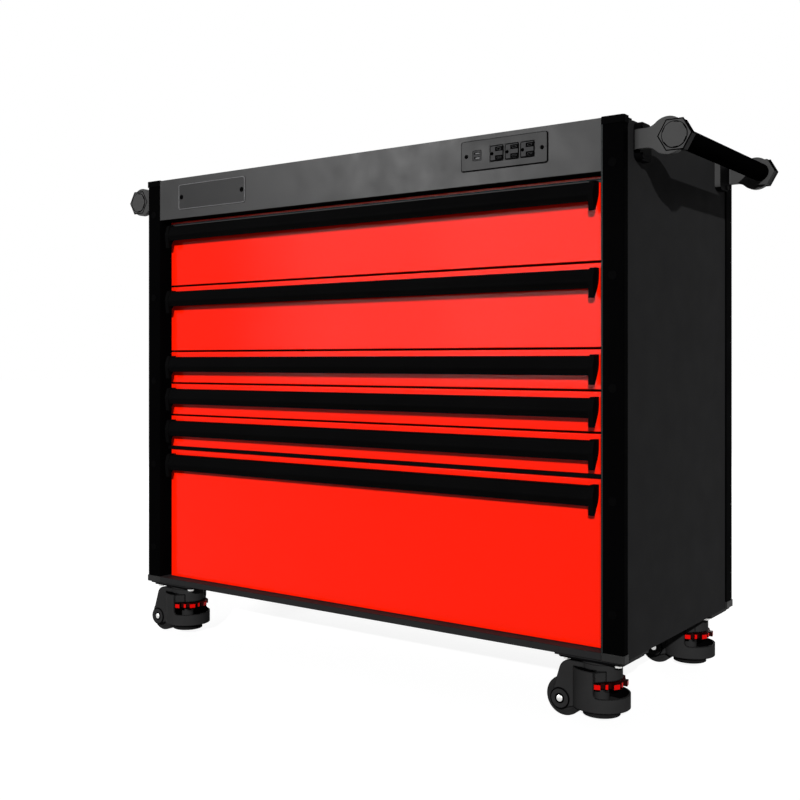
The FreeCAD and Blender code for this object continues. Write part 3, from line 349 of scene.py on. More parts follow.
RUBBER_SHADES = ((0.040, 0.046, 0.046), (0.045, 0.051, 0.051))
RUBBER_DUST = (0.09, 0.095, 0.095)
RUBBER_SPECULAR = 0.12
RUBBER_ROUGHNESS = (0.70, 0.78)
RUBBER_EDGE = 0.0008
RUBBER_CLOUD = 4
RUBBER_SHEEN = 30
PEBBLE_SCALE = 700
PEBBLE_BUMP = (0.3, 0.0002)
PEBBLE_LOW = (0.55, 0.2)
PEBBLE_DUST = (0, 0.22)
DUST_SCALE = 9
DUST_SPAN = (0.35, 0.8)


def make_rubber(name):
    """Pebbled rubber with dust in its low places."""
    made = Nodes(name)
    shader = made.shader
    shader.inputs["Specular IOR Level"].default_value = RUBBER_SPECULAR
    pebble = made.cells(PEBBLE_SCALE)
    dusty = made.times(made.spread(made.noise(DUST_SCALE, detail=4), *DUST_SPAN),
                       made.spread(pebble, *PEBBLE_LOW, *PEBBLE_DUST))
    rubber = made.blend(made.spread(made.noise(RUBBER_CLOUD, detail=3), *CLOUD_SPAN), *RUBBER_SHADES)
    made.link(made.blend(dusty, rubber, RUBBER_DUST), shader.inputs["Base Color"])
    dull = made.spread(made.noise(RUBBER_SHEEN, detail=3), *CLOUD_SPAN, *RUBBER_ROUGHNESS)
    made.link(dull, shader.inputs["Roughness"])
    normal, _ = made.edges(RUBBER_EDGE)
    made.link(made.bump(pebble, *PEBBLE_BUMP, normal), shader.inputs["Normal"])
    return made.material


# Each grain is a pattern, its scale or pitch, and the bump's strength and distance.

PEEL = ("noise", 420, 0.05, 0.0002)
POWDER = ("noise", 1300, 0.2, 0.0001)
MOULD_GRAIN = ("cells", 900, 0.25, 0.0001)
DRAWN_UPRIGHT = ("noise", (900, 900, 6), 0.15, 0.00008)
DRAWN_ACROSS = ("noise", (6, 900, 900), 0.15, 0.00008)
DRAWN_BACK = ("noise", (900, 6, 900), 0.15, 0.00008)
SPANGLE = ("cells", 260, 0.08, 0.0001)
THREAD = ("bands", 0.003, 0.9, 0.001)

FINISHES = {
    "red_paint": dict(colour=(0.97, 0.0105, 0.0004), roughness=0.14, specular=0.07, mottling=0.012,
                      roughness_spread=0.02, edge_wear_and_painted_light=(0.95, 0.03, 0.015), edge=0.0009, edge_share=0.4,
                      grains=(PEEL,)),
    "charcoal_paint": dict(colour=(0.020, 0.020, 0.0205), roughness=0.6, specular=0.004, mottling=0.03,
                           edge_wear_and_painted_light=(0.035, 0.035, 0.035), grains=(PEEL, POWDER)),
    # The rail's near-black edges are painted shade lines.
    "rail_paint": dict(colour=(0.0165, 0.0165, 0.017), roughness=0.5, specular=0.02, mottling=0.05,
                       edge_wear_and_painted_light=(0.004, 0.004, 0.004), edge=0.0016, edge_share=0.9, edge_least=0.6,
                       grains=(PEEL, POWDER)),
    "grey_paint": dict(colour=(0.014, 0.014, 0.0143), roughness=0.38, specular=0.15, mottling=0.03,
                       edge_wear_and_painted_light=(0.06, 0.06, 0.06), grains=(PEEL, POWDER)),
    # The brackets' near-black edges are painted shade lines.
    "bracket_paint": dict(colour=(0.052, 0.052, 0.052), roughness=0.42, specular=0.04, mottling=0.04,
                          cloud=20, edge_wear_and_painted_light=(0.004, 0.004, 0.004), edge=0.0014, edge_share=0.95,
                          edge_least=0.7, grains=(PEEL, POWDER)),
    "black_paint": dict(colour=(0.0022, 0.0022, 0.0024), roughness=0.5, specular=0.006, mottling=0.12,
                        edge_wear_and_painted_light=(0.012, 0.012, 0.012), grains=(PEEL, POWDER)),
    "black_metal_plate": dict(colour=(0.0105, 0.0105, 0.0108), roughness=0.38, specular=0.11, mottling=0.03,
                              edge_wear_and_painted_light=(0.10, 0.10, 0.10), grains=(POWDER,)),
    "drawer_box_paint": dict(colour=(0.022, 0.022, 0.024), roughness=0.5, specular=0.10, mottling=0.08,
                             edge_wear_and_painted_light=(0.06, 0.06, 0.06), grains=(PEEL, POWDER)),
    "black_anodised": dict(colour=(0.0009, 0.0009, 0.0010), roughness=0.5, specular=0.001, mottling=0.15,
                           edge_wear_and_painted_light=(0.003, 0.003, 0.003), grains=(DRAWN_UPRIGHT,)),
    "pull_anodised": dict(colour=(0.0022, 0.0022, 0.0023), roughness=0.5, specular=0.002, mottling=0.15,
                          edge_wear_and_painted_light=(0.004, 0.004, 0.004), grains=(DRAWN_ACROSS,)),
    "handle_anodised": dict(colour=(0.0009, 0.0009, 0.0010), roughness=0.5, specular=0.0, mottling=0.15,
                            edge_wear_and_painted_light=(0.002, 0.002, 0.002), grains=(DRAWN_BACK,)),
    "black_plastic": dict(colour=(0.0012, 0.0012, 0.0013), roughness=0.5, specular=0.003, mottling=0.2,
                          edge_wear_and_painted_light=(0.008, 0.008, 0.008), grains=(MOULD_GRAIN,)),
    # The caps' lighter edges are a painted highlight on their rounded corners.
    "cap_grey": dict(colour=(0.019, 0.019, 0.019), roughness=0.42, specular=0.05, mottling=0.06, cloud=30,
                     edge_wear_and_painted_light=(0.07, 0.07, 0.07), edge=0.0012, edge_share=0.7, grains=(MOULD_GRAIN,)),
    # The nylon's near-black edges are painted shade lines.
    "black_nylon": dict(colour=(0.0225, 0.0225, 0.0227), roughness=0.5, specular=0.004, mottling=0.08,
                        cloud=20, edge_wear_and_painted_light=(0.0004, 0.0004, 0.0004), edge=0.0032, edge_share=1.0,
                        edge_least=0.95, edge_span=WIDE_EDGE_SPAN, grains=(MOULD_GRAIN,)),
    "tyre": dict(colour=(0.017, 0.017, 0.017), roughness=0.6, specular=0.01, mottling=0.2, cloud=40,
                 edge_wear_and_painted_light=(0.02, 0.02, 0.02), grains=(MOULD_GRAIN,)),
    "rubber_foot": dict(colour=(0.010, 0.010, 0.010), roughness=0.65, specular=0.01, mottling=0.25, cloud=30,
                        edge_wear_and_painted_light=(0.02, 0.02, 0.02), grains=(MOULD_GRAIN,)),
    "red_plastic": dict(colour=(0.62, 0.002, 0.001), roughness=0.34, specular=0.06, mottling=0.04, cloud=30,
                        edge_wear_and_painted_light=(0.35, 0.002, 0.002), edge_share=0.6, grains=(MOULD_GRAIN,)),
    # The thumb wheel's red, darkened: painted shade.
    "thumb_painted_shade": dict(colour=(0.012, 0.0006, 0.0006), roughness=0.5, specular=0.03, mottling=0.2, cloud=30,
                       edge_wear_and_painted_light=(0.05, 0.001, 0.001), grains=(MOULD_GRAIN,)),
    "zinc_steel": dict(colour=(0.58, 0.58, 0.57), roughness=0.34, specular=0.5, metallic=1.0, mottling=0.05,
                       cloud=60, edge_wear_and_painted_light=(0.9, 0.9, 0.9), grains=(SPANGLE,)),
    "thread_steel": dict(colour=(0.32, 0.32, 0.31), roughness=0.36, specular=0.5, metallic=1.0,
                         mottling=0.15, cloud=60, edge_wear_and_painted_light=(0.5, 0.5, 0.5), grains=(THREAD,)),
    "line_grey": dict(colour=(0.17, 0.17, 0.175), roughness=0.35, specular=0.2, mottling=0.2, cloud=25,
                      edge_wear_and_painted_light=(0.2, 0.2, 0.2), grains=(POWDER,)),
    # The right bead's lighter colour is a painted highlight.
    "bead_painted_highlight": dict(colour=(0.015, 0.0175, 0.0175), roughness=0.4, specular=0.06, mottling=0.1, cloud=25,
                      edge_wear_and_painted_light=(0.03, 0.03, 0.03), grains=(DRAWN_UPRIGHT,)),
    "socket_face": dict(colour=(0.036, 0.036, 0.037), roughness=0.4, specular=0.03, mottling=0.06, cloud=60,
                        edge_wear_and_painted_light=(0.09, 0.09, 0.09), edge=0.0003, grains=(MOULD_GRAIN,)),
}

# CAD nodes whose finish isn't the one that their slot in the record names

NODE_FINISH = {"side_handles": "handle_anodised", "outlet_plate": "black_metal_plate",
               "base_frame": "rail_paint", "handle_brackets": "bracket_paint"}
NODE_FINISH.update({"drawer_%d_pull" % number: "pull_anodised" for number in DRAWERS})

# A face looks along an axis where its normal's share along it is over FACING.

FACING = 0.9
HALF_FACING = 0.5
SIDEWAYS = 0.1
TURNED_DOWN = 0.2
PAD_END_TURN = 0.7
LEVEL_MARGIN = 0.002
ARM_MARGIN = 0.0005
TOP_MARGIN = 0.001
BRACKET_BOLTS_ABOVE = 1


def make_materials():
    made = {name: make_finish(name, **values) for name, values in FINISHES.items()}
    made["rubber_mat"] = make_rubber("rubber_mat")
    made["drawer_liner"] = make_rubber("drawer_liner")
    return made


def paint_faces(node, finish, wanted):
    """Gives the faces of a node that wanted(centre, normal) picks a finish of their own."""
    mesh = frame["nodes"][node].data
    mesh.materials.append(materials[finish])
    for face in mesh.polygons:
        if wanted(face.center, face.normal):
            face.material_index = len(mesh.materials) - 1


def plug_flats_painted_light(centre, normal):
    """Picks the lower flats of the handles' six-sided plugs, painted lighter than the upper flats as painted
    light.
    """
    axis = Vector((math.copysign(HANDLE_X, centre.x), HANDLE_Z))
    return (normal.z < -TURNED_DOWN and abs(normal.y) < SIDEWAYS
            and (centre.xz - axis).length > PLUG_INNER)


def bracket_pad_painted_shade(centre, normal):
    """Picks the pad of a handle bracket, as far as its arm, which is painted black as painted shade."""
    near_panel = abs(centre.x) < PAD_FACE + LEVEL_MARGIN
    return near_panel and (abs(normal.y) < PAD_END_TURN or PAD_BACK < abs(centre.y) < ARM_BACK + ARM_MARGIN)


def housing_painted_shade(middle):
    """Returns what picks the inner wall of a caster's cup and the top of its block, which are painted black
    as painted shade.
    """
    def wanted(centre, normal):
        out = centre.xy - middle
        in_cup = 0 < out.length < CUP_INSIDE and normal.xy.dot(out) < -HALF_FACING * out.length
        return in_cup or normal.z > FACING and centre.z > CUP_TOP - TOP_MARGIN
    return wanted


def stem_of_foot(middle):
    """Returns what picks the threaded stem of a caster's foot."""
    def wanted(centre, normal):
        return (centre.xy - middle).length < STEM_REACH and centre.z > STEM_BOTTOM
    return wanted


def dress_nodes():
    """Gives each CAD node its finish, and single faces one of their own."""
    for part in frame["record"]["subparts"]:
        name = NODE_FINISH.get(part["node"], part["material_slot"])
        mesh = frame["nodes"][part["node"]].data
        mesh.materials.clear()
        mesh.materials.append(materials[name])
    rail_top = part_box("base_frame")[1][2]
    # The fascia's downward faces are black: painted shade under its overhang.
    paint_faces("fascia", "black_plastic", lambda centre, normal: normal.z < -HALF_FACING)
    # The fronts' downward faces are black: painted shade in the gaps between the drawers.
    for number in DRAWERS:
        paint_faces("drawer_%d_front" % number, "black_paint", lambda centre, normal: normal.z < -FACING)
    # The plugs' end faces and lower flats are painted lighter than their black upper flats: painted light
    # and shade on one part, by the way each face looks.
    paint_faces("side_handles", "bracket_paint", lambda centre, normal: abs(normal.y) > FACING)
    paint_faces("side_handles", "rail_paint", plug_flats_painted_light)
    paint_faces("post_trim", "cap_grey", lambda centre, normal: centre.z < rail_top + LEVEL_MARGIN)
    paint_faces("fasteners", "black_paint", lambda centre, normal: centre.z > BRACKET_BOLTS_ABOVE)
    # The pads of the grey brackets are painted black: painted shade behind the arms.
    paint_faces("handle_brackets", "black_paint", bracket_pad_painted_shade)
    paint_faces("outlet_inserts", "socket_face", lambda centre, normal: normal.y < -FACING)
    for corner in CORNERS:
        middle = caster_middle(corner)
        # The cup's inner wall and the block's top are painted black: painted shade under the head.
        paint_faces("caster_%s_housing" % corner, "black_plastic", housing_painted_shade(middle))
        paint_faces("caster_%s_foot" % corner, "thread_steel", stem_of_foot(middle))


# Mesh helpers

SMOOTH_ANGLE = math.radians(35)
ROUND_STEPS = 6
FINE_ROUND = 0.0002
HEXAGON = 6
SCREW_DOME = ((1, 0), (0.98, 0.35), (0.8, 0.8))
SCREW_SEGMENTS = 24
RECESS_RADIUS = 0.45
RECESS_MOUTH = 1.1
RECESS_TAPER = 0.96
RECESS_DEPTH = 0.7
SCREW_SINK = 0.0002


def add_piece(name, builder, finish, body):
    """Makes a visible piece that moves with a body and has the given finish."""
    bmesh.ops.recalc_face_normals(builder, faces=builder.faces)
    mesh = bpy.data.meshes.new(name)
    builder.to_mesh(mesh)
    builder.free()
    mesh.shade_smooth()
    mesh.set_sharp_from_angle(angle=SMOOTH_ANGLE)
    mesh.materials.append(materials[finish])
    piece = bpy.data.objects.new(name, mesh)
    bpy.context.scene.collection.objects.link(piece)
    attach(piece, body)
    return piece


def place_of(centre, axis):
    """The place of a shape drawn about the origin with its Z along axis."""
    return Matrix.Translation(Vector(centre)) @ Vector(axis).to_track_quat("Z", "Y").to_matrix().to_4x4()


def join_rings(builder, lower, upper):
    """Faces between two rings of points, of which one may be a single point."""
    count = max(len(lower), len(upper))
    for step in range(count):
        corners = [lower[step % len(lower)], lower[(step + 1) % len(lower)],
                   upper[(step + 1) % len(upper)], upper[step % len(upper)]]
        builder.faces.new(list(dict.fromkeys(corners)))


def join_all(builder, rings, closed):
    """Joins each ring with the next, and the last with the first if the shape closes on itself."""
    for lower, upper in zip(rings, rings[1:]):
        join_rings(builder, lower, upper)
    if closed:
        join_rings(builder, rings[-1], rings[0])


def grown(profile, radius, height=0.0):
    """A profile whose points are steps away from a radius and a height."""
    return [(radius + out, height + rise) for out, rise in profile]


def scaled(profile, radius):
    """A profile whose points are (share of a radius, height)."""
    return [(radius * share, height) for share, height in profile]


def add_lathe(builder, profile, centre, axis, segments, closed=False):
    """Turns (radius, height) points about an axis through centre. A radius of 0 makes a single point."""
    place = place_of(centre, axis)
    turns = [2 * math.pi * step / segments for step in range(segments)]
    rings = []
    for radius, height in profile:
        plan = [(radius * math.cos(turn), radius * math.sin(turn)) for turn in turns] if radius else [(0, 0)]
        rings.append([builder.verts.new(place @ Vector((x, y, height))) for x, y in plan])
    join_all(builder, rings, closed)


def rounded_outline(width, height, radius):
    """Points of a rounded rectangle about the origin, anticlockwise."""
    points = []
    for quarter, (across, up) in enumerate(((1, 1), (-1, 1), (-1, -1), (1, -1))):
        for step in range(ROUND_STEPS + 1):
            turn = math.pi / 2 * (quarter + step / ROUND_STEPS)
            points.append((across * (width / 2 - radius) + radius * math.cos(turn),
                           up * (height / 2 - radius) + radius * math.sin(turn)))
    return points


def hexagon(radius):
    """Corners of a regular hexagon about the origin, the first of them along X."""
    turns = [2 * math.pi * corner / HEXAGON for corner in range(HEXAGON)]
    return [(radius * math.cos(turn), radius * math.sin(turn)) for turn in turns]


def add_band(builder, outlines, centre, axis, closed=True):
    """Joins outlines of equal length, each (points, height), into a ring or an open shell."""
    place = place_of(centre, axis)
    rings = [[builder.verts.new(place @ Vector((x, y, height))) for x, y in points]
             for points, height in outlines]
    join_all(builder, rings, closed)
    return rings


def add_frame_line(builder, width, height, radius, line, proud, centre, axis, lean=0.0):
    """A fine raised line just inside the edge of a rounded rectangle, thicker on one side by lean."""
    outer = rounded_outline(width, height, radius)
    crest = rounded_outline(width - line, height - line, radius - line / 2)
    inset = rounded_outline(width - 2 * line, height - 2 * line, radius - line)
    inner = [(x - lean, y + lean) for x, y in inset]
    add_band(builder, [(outer, 0), (crest, proud), (inner, 0)], centre, axis)


def add_prism(builder, points, low, high, round_by):
    """A flat outline in the XY plane raised between two heights, with its edges broken."""
    rings = [[builder.verts.new((x, y, z)) for x, y in points] for z in (low, high)]
    join_rings(builder, *rings)
    faces = [builder.faces.new(ring) for ring in rings]
    corners = [vertex for face in faces for vertex in face.verts]
    edges = list(dict.fromkeys(edge for vertex in corners for edge in vertex.link_edges))
    bmesh.ops.bevel(builder, geom=edges, offset=round_by, segments=2, affect="EDGES", clamp_overlap=True)


def add_bar(builder, low, high, round_by=FINE_ROUND):
    """A bar between two corners with its edges broken."""
    (left, near, bottom), (right, far, top) = low, high
    add_prism(builder, [(left, near), (right, near), (right, far), (left, far)], bottom, top, round_by)


def add_socket_screw(builder, centre, axis, radius, height):
    """A domed screw head with a six-sided recess."""
    recess = radius * RECESS_RADIUS
    lip = height * RECESS_TAPER
    floor = height - height * RECESS_DEPTH
    dome = [(radius * share, height * rise) for share, rise in SCREW_DOME]
    add_lathe(builder, dome + [(recess * RECESS_MOUTH, height), (recess, lip)], centre, axis, SCREW_SEGMENTS)
    add_lathe(builder, [(recess, lip), (recess * RECESS_TAPER, floor), (0, floor)], centre, axis, HEXAGON)


# Plates on the fascia

PLATES = {
    "name_plate": dict(rim="line_grey", line=0.0018, lean=0.0, screw_inset=0.0095, screw_radius=0.0056),
    # The outlet plate's dark line is thicker on one side by lean: painted shadow.
    "outlet_plate": dict(rim="black_plastic", line=0.0017, lean=0.0008, screw_inset=0.012,
                         screw_radius=0.0040),
}
PLATE_RADIUS = 0.005
PLATE_PROUD = 0.0005
PLATE_SCREW_HEIGHT = 0.0014
SOCKETS_X = (0.3566, 0.3892, 0.4218)
SOCKET_SIDE = 0.030
SOCKET_RADIUS = 0.0035
SOCKET_LINE = 0.0021
# The outlets' dark frames are thicker on one side by this much: painted shadow.
SOCKET_SHADOW_LEAN = 0.0007
SLOT_SHIFT = 0.0048
SLOT_RISE = 0.0080
SLOT_HALF = (0.0085, 0.0040)
SLOT_PROUD = 0.0004
CONTACT_SHARE = (1.1, 0.8)
CONTACT_RADIUS = 0.0008
CONTACT_LINE = 0.0004
CONTACT_PROUD = 0.0002
PORT_X = 0.3135
PORT_SIDE = (0.019, 0.020)
PORT_RADIUS = 0.002
PORT_LINE = 0.0010
PORT_RISE = 0.0044
TONGUE_HALF = (0.0045, 0.0008)
TONGUE_DEPTH = (0.0010, 0.0050)


def make_plate_details():
    """The rims and screws of the name plate and the outlet plate."""
    for plate, look in PLATES.items():
        low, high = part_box(plate)
        middle = ((low[0] + high[0]) / 2, low[1], (low[2] + high[2]) / 2)
        builder = bmesh.new()
        add_frame_line(builder, high[0] - low[0], high[2] - low[2], PLATE_RADIUS, look["line"], PLATE_PROUD,
                       middle, TO_FRONT, look["lean"])
        add_piece(plate + "_rim", builder, look["rim"], "cabinet")
        builder = bmesh.new()
        for x in (low[0] + look["screw_inset"], high[0] - look["screw_inset"]):
            add_socket_screw(builder, (x, low[1], middle[2]), TO_FRONT, look["screw_radius"],
                             PLATE_SCREW_HEIGHT)
        add_piece(plate + "_screws", builder, "black_plastic", "cabinet")


def add_slot(surrounds, contacts, x, front, z):
    """A dark pad in a mains outlet, painted shade in its slot, with a fine contact on it."""
    half, tall = SLOT_HALF
    add_bar(surrounds, (x - half, front - SLOT_PROUD, z - tall), (x + half, front + SLOT_PROUD, z + tall))
    add_frame_line(contacts, half * CONTACT_SHARE[0], tall * CONTACT_SHARE[1], CONTACT_RADIUS, CONTACT_LINE,
                   CONTACT_PROUD, (x, front - SLOT_PROUD, z), TO_FRONT)


def make_outlet_details():
    """Dark surrounds on the outlets and the charging port, those of the outlets thicker on one side as
    painted shadow, dark pads as painted shade in the slots, and the contacts inside them.
    """
    low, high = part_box("outlet_inserts")
    front, height = low[1], (low[2] + high[2]) / 2
    surrounds, contacts = bmesh.new(), bmesh.new()
    for x in SOCKETS_X:
        add_frame_line(surrounds, SOCKET_SIDE, SOCKET_SIDE, SOCKET_RADIUS, SOCKET_LINE, PLATE_PROUD,
                       (x, front, height), TO_FRONT, SOCKET_SHADOW_LEAN)
        for rise in (SLOT_RISE, -SLOT_RISE):
            add_slot(surrounds, contacts, x + SLOT_SHIFT, front, height + rise)
    add_frame_line(surrounds, *PORT_SIDE, PORT_RADIUS, PORT_LINE, PLATE_PROUD, (PORT_X, front, height),
                   TO_FRONT)
    half, tall = TONGUE_HALF
    for rise in (PORT_RISE, -PORT_RISE):
        add_bar(contacts, (PORT_X - half, front + TONGUE_DEPTH[0], height + rise - tall),
                (PORT_X + half, front + TONGUE_DEPTH[1], height + rise + tall))
    add_piece("outlet_surrounds", surrounds, "black_plastic", "cabinet")
    add_piece("outlet_contacts", contacts, "line_grey", "cabinet")


# Posts, mat and back

POST_INNER = 0.568
POST_FRONT = -0.278
POST_Z = (0.1395, 1.0635)
BEAD_WIDTH = 0.0028
BEAD_PROUD = 0.0005
BEAD_SUNK = 0.0004
MAT_LINE_INSET = 0.002
MAT_LINE_Y = (-0.0003, 0.0012)
MAT_LINE_Z = (-0.0009, 0.0003)
MAT_SCREW_INSET = (0.020, 0.016)
MAT_SCREW_RADIUS = 0.0045
MAT_SCREW_HEIGHT = 0.0016
BACK_EDGE_X = 0.53
BACK_SCREWS_X = (-BACK_EDGE_X, -0.265, 0.0, 0.265, BACK_EDGE_X)
BACK_SCREWS_Z = (0.2, 0.6, 1.0)
BACK_SCREW_RADIUS = 0.005
BACK_SCREW_HEIGHT = 0.002


def make_post_strips():
    """The narrow bead along each front post's inner corner, lighter on the right as a painted highlight."""
    for side, name, finish in ((-1, "left", "black_anodised"), (1, "right", "bead_painted_highlight")):
        builder = bmesh.new()
        left, right = sorted((side * POST_INNER, side * (POST_INNER + BEAD_WIDTH)))
        add_bar(builder, (left, POST_FRONT - BEAD_PROUD, POST_Z[0]),
                (right, POST_FRONT + BEAD_SUNK, POST_Z[1]))
        add_piece("post_edge_strip_" + name, builder, finish, "cabinet")


def make_mat_details():
    """The pale line along the mat's front edge and a small screw in each corner."""
    low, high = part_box("top_mat")
    end = POST_INNER - MAT_LINE_INSET
    builder = bmesh.new()
    add_bar(builder, (-end, low[1] + MAT_LINE_Y[0], high[2] + MAT_LINE_Z[0]),
            (end, low[1] + MAT_LINE_Y[1], high[2] + MAT_LINE_Z[1]))
    add_piece("mat_edge_line", builder, "line_grey", "cabinet")
    builder = bmesh.new()
    for right in SIDES:
        for back in SIDES:
            x = right * (POST_INNER - MAT_SCREW_INSET[0])
            y = back * (high[1] - MAT_SCREW_INSET[1])
            add_socket_screw(builder, (x, y, high[2] - SCREW_SINK), UPWARD, MAT_SCREW_RADIUS,
                             MAT_SCREW_HEIGHT)
    add_piece("mat_screws", builder, "black_plastic", "cabinet")


def make_back_details():
    """Domed screws round the recessed sheet of the back panel, whose face carries the gland."""
    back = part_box("cord_gland")[0][1]
    builder = bmesh.new()
    for x in BACK_SCREWS_X:
        for z in BACK_SCREWS_Z:
            if abs(x) == BACK_EDGE_X or z != BACK_SCREWS_Z[1]:
                add_socket_screw(builder, (x, back - SCREW_SINK, z), TO_BACK, BACK_SCREW_RADIUS,
                                 BACK_SCREW_HEIGHT)
    add_piece("back_panel_screws", builder, "black_plastic", "cabinet")


# Handles. PLUG_SHADE_BAND and DISC_RING are steps away from a radius, each with its height.

HANDLE_X = 0.687
HANDLE_Z = 1.0385
ARM_BACK = 0.229
PAD_BACK = 0.180
PAD_FACE = 0.619
PLUG_FRONT = 0.241
PLUG_RADIUS = 0.030
PLUG_INNER = 0.02415
PLUG_SHADE_BAND = ((-0.0010, -0.0002), (-0.0006, 0.0006), (0.0010, 0.0006), (0.0018, -0.0004))
DISC_RADIUS = 0.023
DISC_FRONT = 0.2425
DISC_RING = ((0.0003, -0.0014), (0.0002, 0.0003), (-0.0006, 0.0004), (-0.0010, -0.0002))
DISC_SEGMENTS = 48
NOTCH_STARTS = (0.35, 1.2, 2.5, 3.7, 4.6, 5.6)
NOTCH_TURN = 0.08
NOTCH_POINTS = 6
NOTCH_RADIUS = DISC_RADIUS * 0.92
NOTCH_SPREAD = 1.06
NOTCH_Z = (-0.0003, 0.0004)


def add_notch(builder, start, disc, face):
    """A short raised arc on the disc of a plug."""
    turns = [start + step * NOTCH_TURN for step in range(NOTCH_POINTS)]
    inner = [(NOTCH_RADIUS * math.cos(turn), NOTCH_RADIUS * math.sin(turn)) for turn in turns]
    outline = inner + [(x * NOTCH_SPREAD, y * NOTCH_SPREAD) for x, y in reversed(inner)]
    _, top = add_band(builder, [(outline, height) for height in NOTCH_Z], disc, face, closed=False)
    builder.faces.new(top)


def make_handle_details():
    """A dark band round each six-sided plug, and a dark ring and fine arcs on the disc in it: painted shade
    at the plug's join and round the disc.
    """
    shade_bands, rings = bmesh.new(), bmesh.new()
    for side in SIDES:
        for front in SIDES:
            face = (0, front, 0)
            plug = (side * HANDLE_X, front * PLUG_FRONT, HANDLE_Z)
            add_band(shade_bands, [(hexagon(PLUG_RADIUS + out), rise) for out, rise in PLUG_SHADE_BAND], plug, face)
            disc = (side * HANDLE_X, front * DISC_FRONT, HANDLE_Z)
            add_lathe(rings, grown(DISC_RING, DISC_RADIUS), disc, face, DISC_SEGMENTS, closed=True)
            for start in NOTCH_STARTS:
                add_notch(rings, start, disc, face)
    add_piece("handle_plug_shade_bands", shade_bands, "black_plastic", "cabinet")
    add_piece("handle_plug_rings", rings, "black_plastic", "cabinet")


# Drawers

SHEET = 0.0012
BOX_HALF_WIDTH = 0.5425
LINER_THICK = 0.0007
LINER_GAP = 0.004
RIB_PITCH = 0.008
RIB_HEIGHT = 0.0007
RIB_FOOT = 0.0016
RIB_CREST = 0.0008
STRIP_INSET = 0.001
STRIP_Y = (-0.0008, 0.0002)
STRIP_Z = (-0.0115, -0.0045)
STRIP_ROUND = 0.0003


def ribbed_outline(half, floor):
    """The liner's section as (x, z) points, from the right end over the ribs to the left one."""
    top = floor + LINER_THICK
    ribs = int(2 * half / RIB_PITCH)
    points = [(half, floor), (half, top)]
    for rib in reversed(range(ribs)):
        middle = -half + (rib + 0.5) * (2 * half) / ribs
        points += [(middle + RIB_FOOT, top), (middle + RIB_CREST, top + RIB_HEIGHT),
                   (middle - RIB_CREST, top + RIB_HEIGHT), (middle - RIB_FOOT, top)]
    return points + [(-half, top), (-half, floor)]


def make_liners():
    """A ribbed rubber liner on each drawer's floor."""
    half = BOX_HALF_WIDTH - SHEET - LINER_GAP
    for number in DRAWERS:
        low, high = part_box("drawer_%d_box" % number)
        outline = ribbed_outline(half, low[2] + SHEET)
        builder = bmesh.new()
        rings = [[builder.verts.new((x, y, z)) for x, z in outline]
                 for y in (low[1] + SHEET + LINER_GAP, high[1] - SHEET - LINER_GAP)]
        join_rings(builder, *rings)
        for ring in rings:
            builder.faces.new(ring)
        add_piece("drawer_%d_liner" % number, builder, "drawer_liner", "drawer_%d" % number)


def make_fascia_shadow_strip():
    """A grey sheet on the top drawer's front above its pull: a painted shadow of the fascia."""
    low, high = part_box("drawer_1_front")
    builder = bmesh.new()
    add_bar(builder, (low[0] + STRIP_INSET, low[1] + STRIP_Y[0], high[2] + STRIP_Z[0]),
            (high[0] - STRIP_INSET, low[1] + STRIP_Y[1], high[2] + STRIP_Z[1]), STRIP_ROUND)
    add_piece("drawer_1_top_strip", builder, "socket_face", "drawer_1")


# Casters. HUB_RING and HEAD_FLANGE are steps away from a radius, AXLE_END and AXLE_RING shares of one.
# WHEEL_SIDE's heights are measured from the roller's face, and LUG_PLAN's turns in pitches between lugs.

CASTER_X = 0.5395
CASTER_Y = 0.216
AXLE_RADIUS = 0.006
AXLE_END = ((1, -0.0004), (1, 0.0006), (0.85, 0.0012), (0, 0.0013))
AXLE_SEGMENTS = 24
AXLE_RING = ((1.60, -0.0002), (1.55, 0.0004), (1.10, 0.0003), (1.02, -0.0002))
AXLE_RING_SEGMENTS = 32
HUB_RADIUS = 0.0187
HUB_FACE = 0.035
HUB_RING = ((0.0002, -0.0016), (0.0009, -0.0008), (-0.0001, 0.0004), (-0.0015, 0.0004), (-0.0019, -0.0003))
HUB_SEGMENTS = 48
WHEEL_TRAIL = 0.067
WHEEL_RADIUS = 0.036
WHEEL_HALF = 0.018
WHEEL_SIDE = ((AXLE_RADIUS + 0.0002, 0), (0.0105, 0), (0.0110, 0.0010), (0.0270, 0.0014), (0.0280, 0),
              (0.0325, 0), (0.0348, 0.0008), (0.0357, 0.0022), (WHEEL_RADIUS, 0.0040))
WHEEL_PARTING = ((WHEEL_RADIUS, -0.0006), (WHEEL_RADIUS - 0.0003, -0.0002))
WHEEL_SEGMENTS = 64
HEAD_RADIUS = 0.038
HEAD_Z = (0.080, 0.1164)
HEAD_FLANGE = ((-0.0005, -0.0090), (0.0008, -0.0078), (0.0012, -0.0016), (0.0004, -0.0003),
               (-0.0030, -0.0001))
HEAD_SEGMENTS = 64
CUP_TOP = 0.099
CUP_INSIDE = 0.0515
STEM_REACH = 0.00816
STEM_BOTTOM = 0.0225
THUMB_BORE = 0.0095
THUMB_RIM = 0.038
THUMB_TOOTH = 0.0435
THUMB_LUG = 0.048
THUMB_Z = (0.067, 0.077)
THUMB_EDGE = 0.0008
THUMB_TAPER = 0.985
LUGS = 8
LUG_START = math.radians(15)
LUG_HALF = 0.17
LUG_FACE_FROM = THUMB_TOOTH * 0.96
TOOTH_HALF = 0.07
LUG_PLAN = ((-LUG_HALF, THUMB_RIM), (-LUG_HALF, THUMB_LUG), (LUG_HALF, THUMB_LUG), (LUG_HALF, THUMB_RIM),
            (0.5 - TOOTH_HALF, THUMB_RIM), (0.5 - TOOTH_HALF, THUMB_TOOTH),
            (0.5 + TOOTH_HALF, THUMB_TOOTH), (0.5 + TOOTH_HALF, THUMB_RIM))
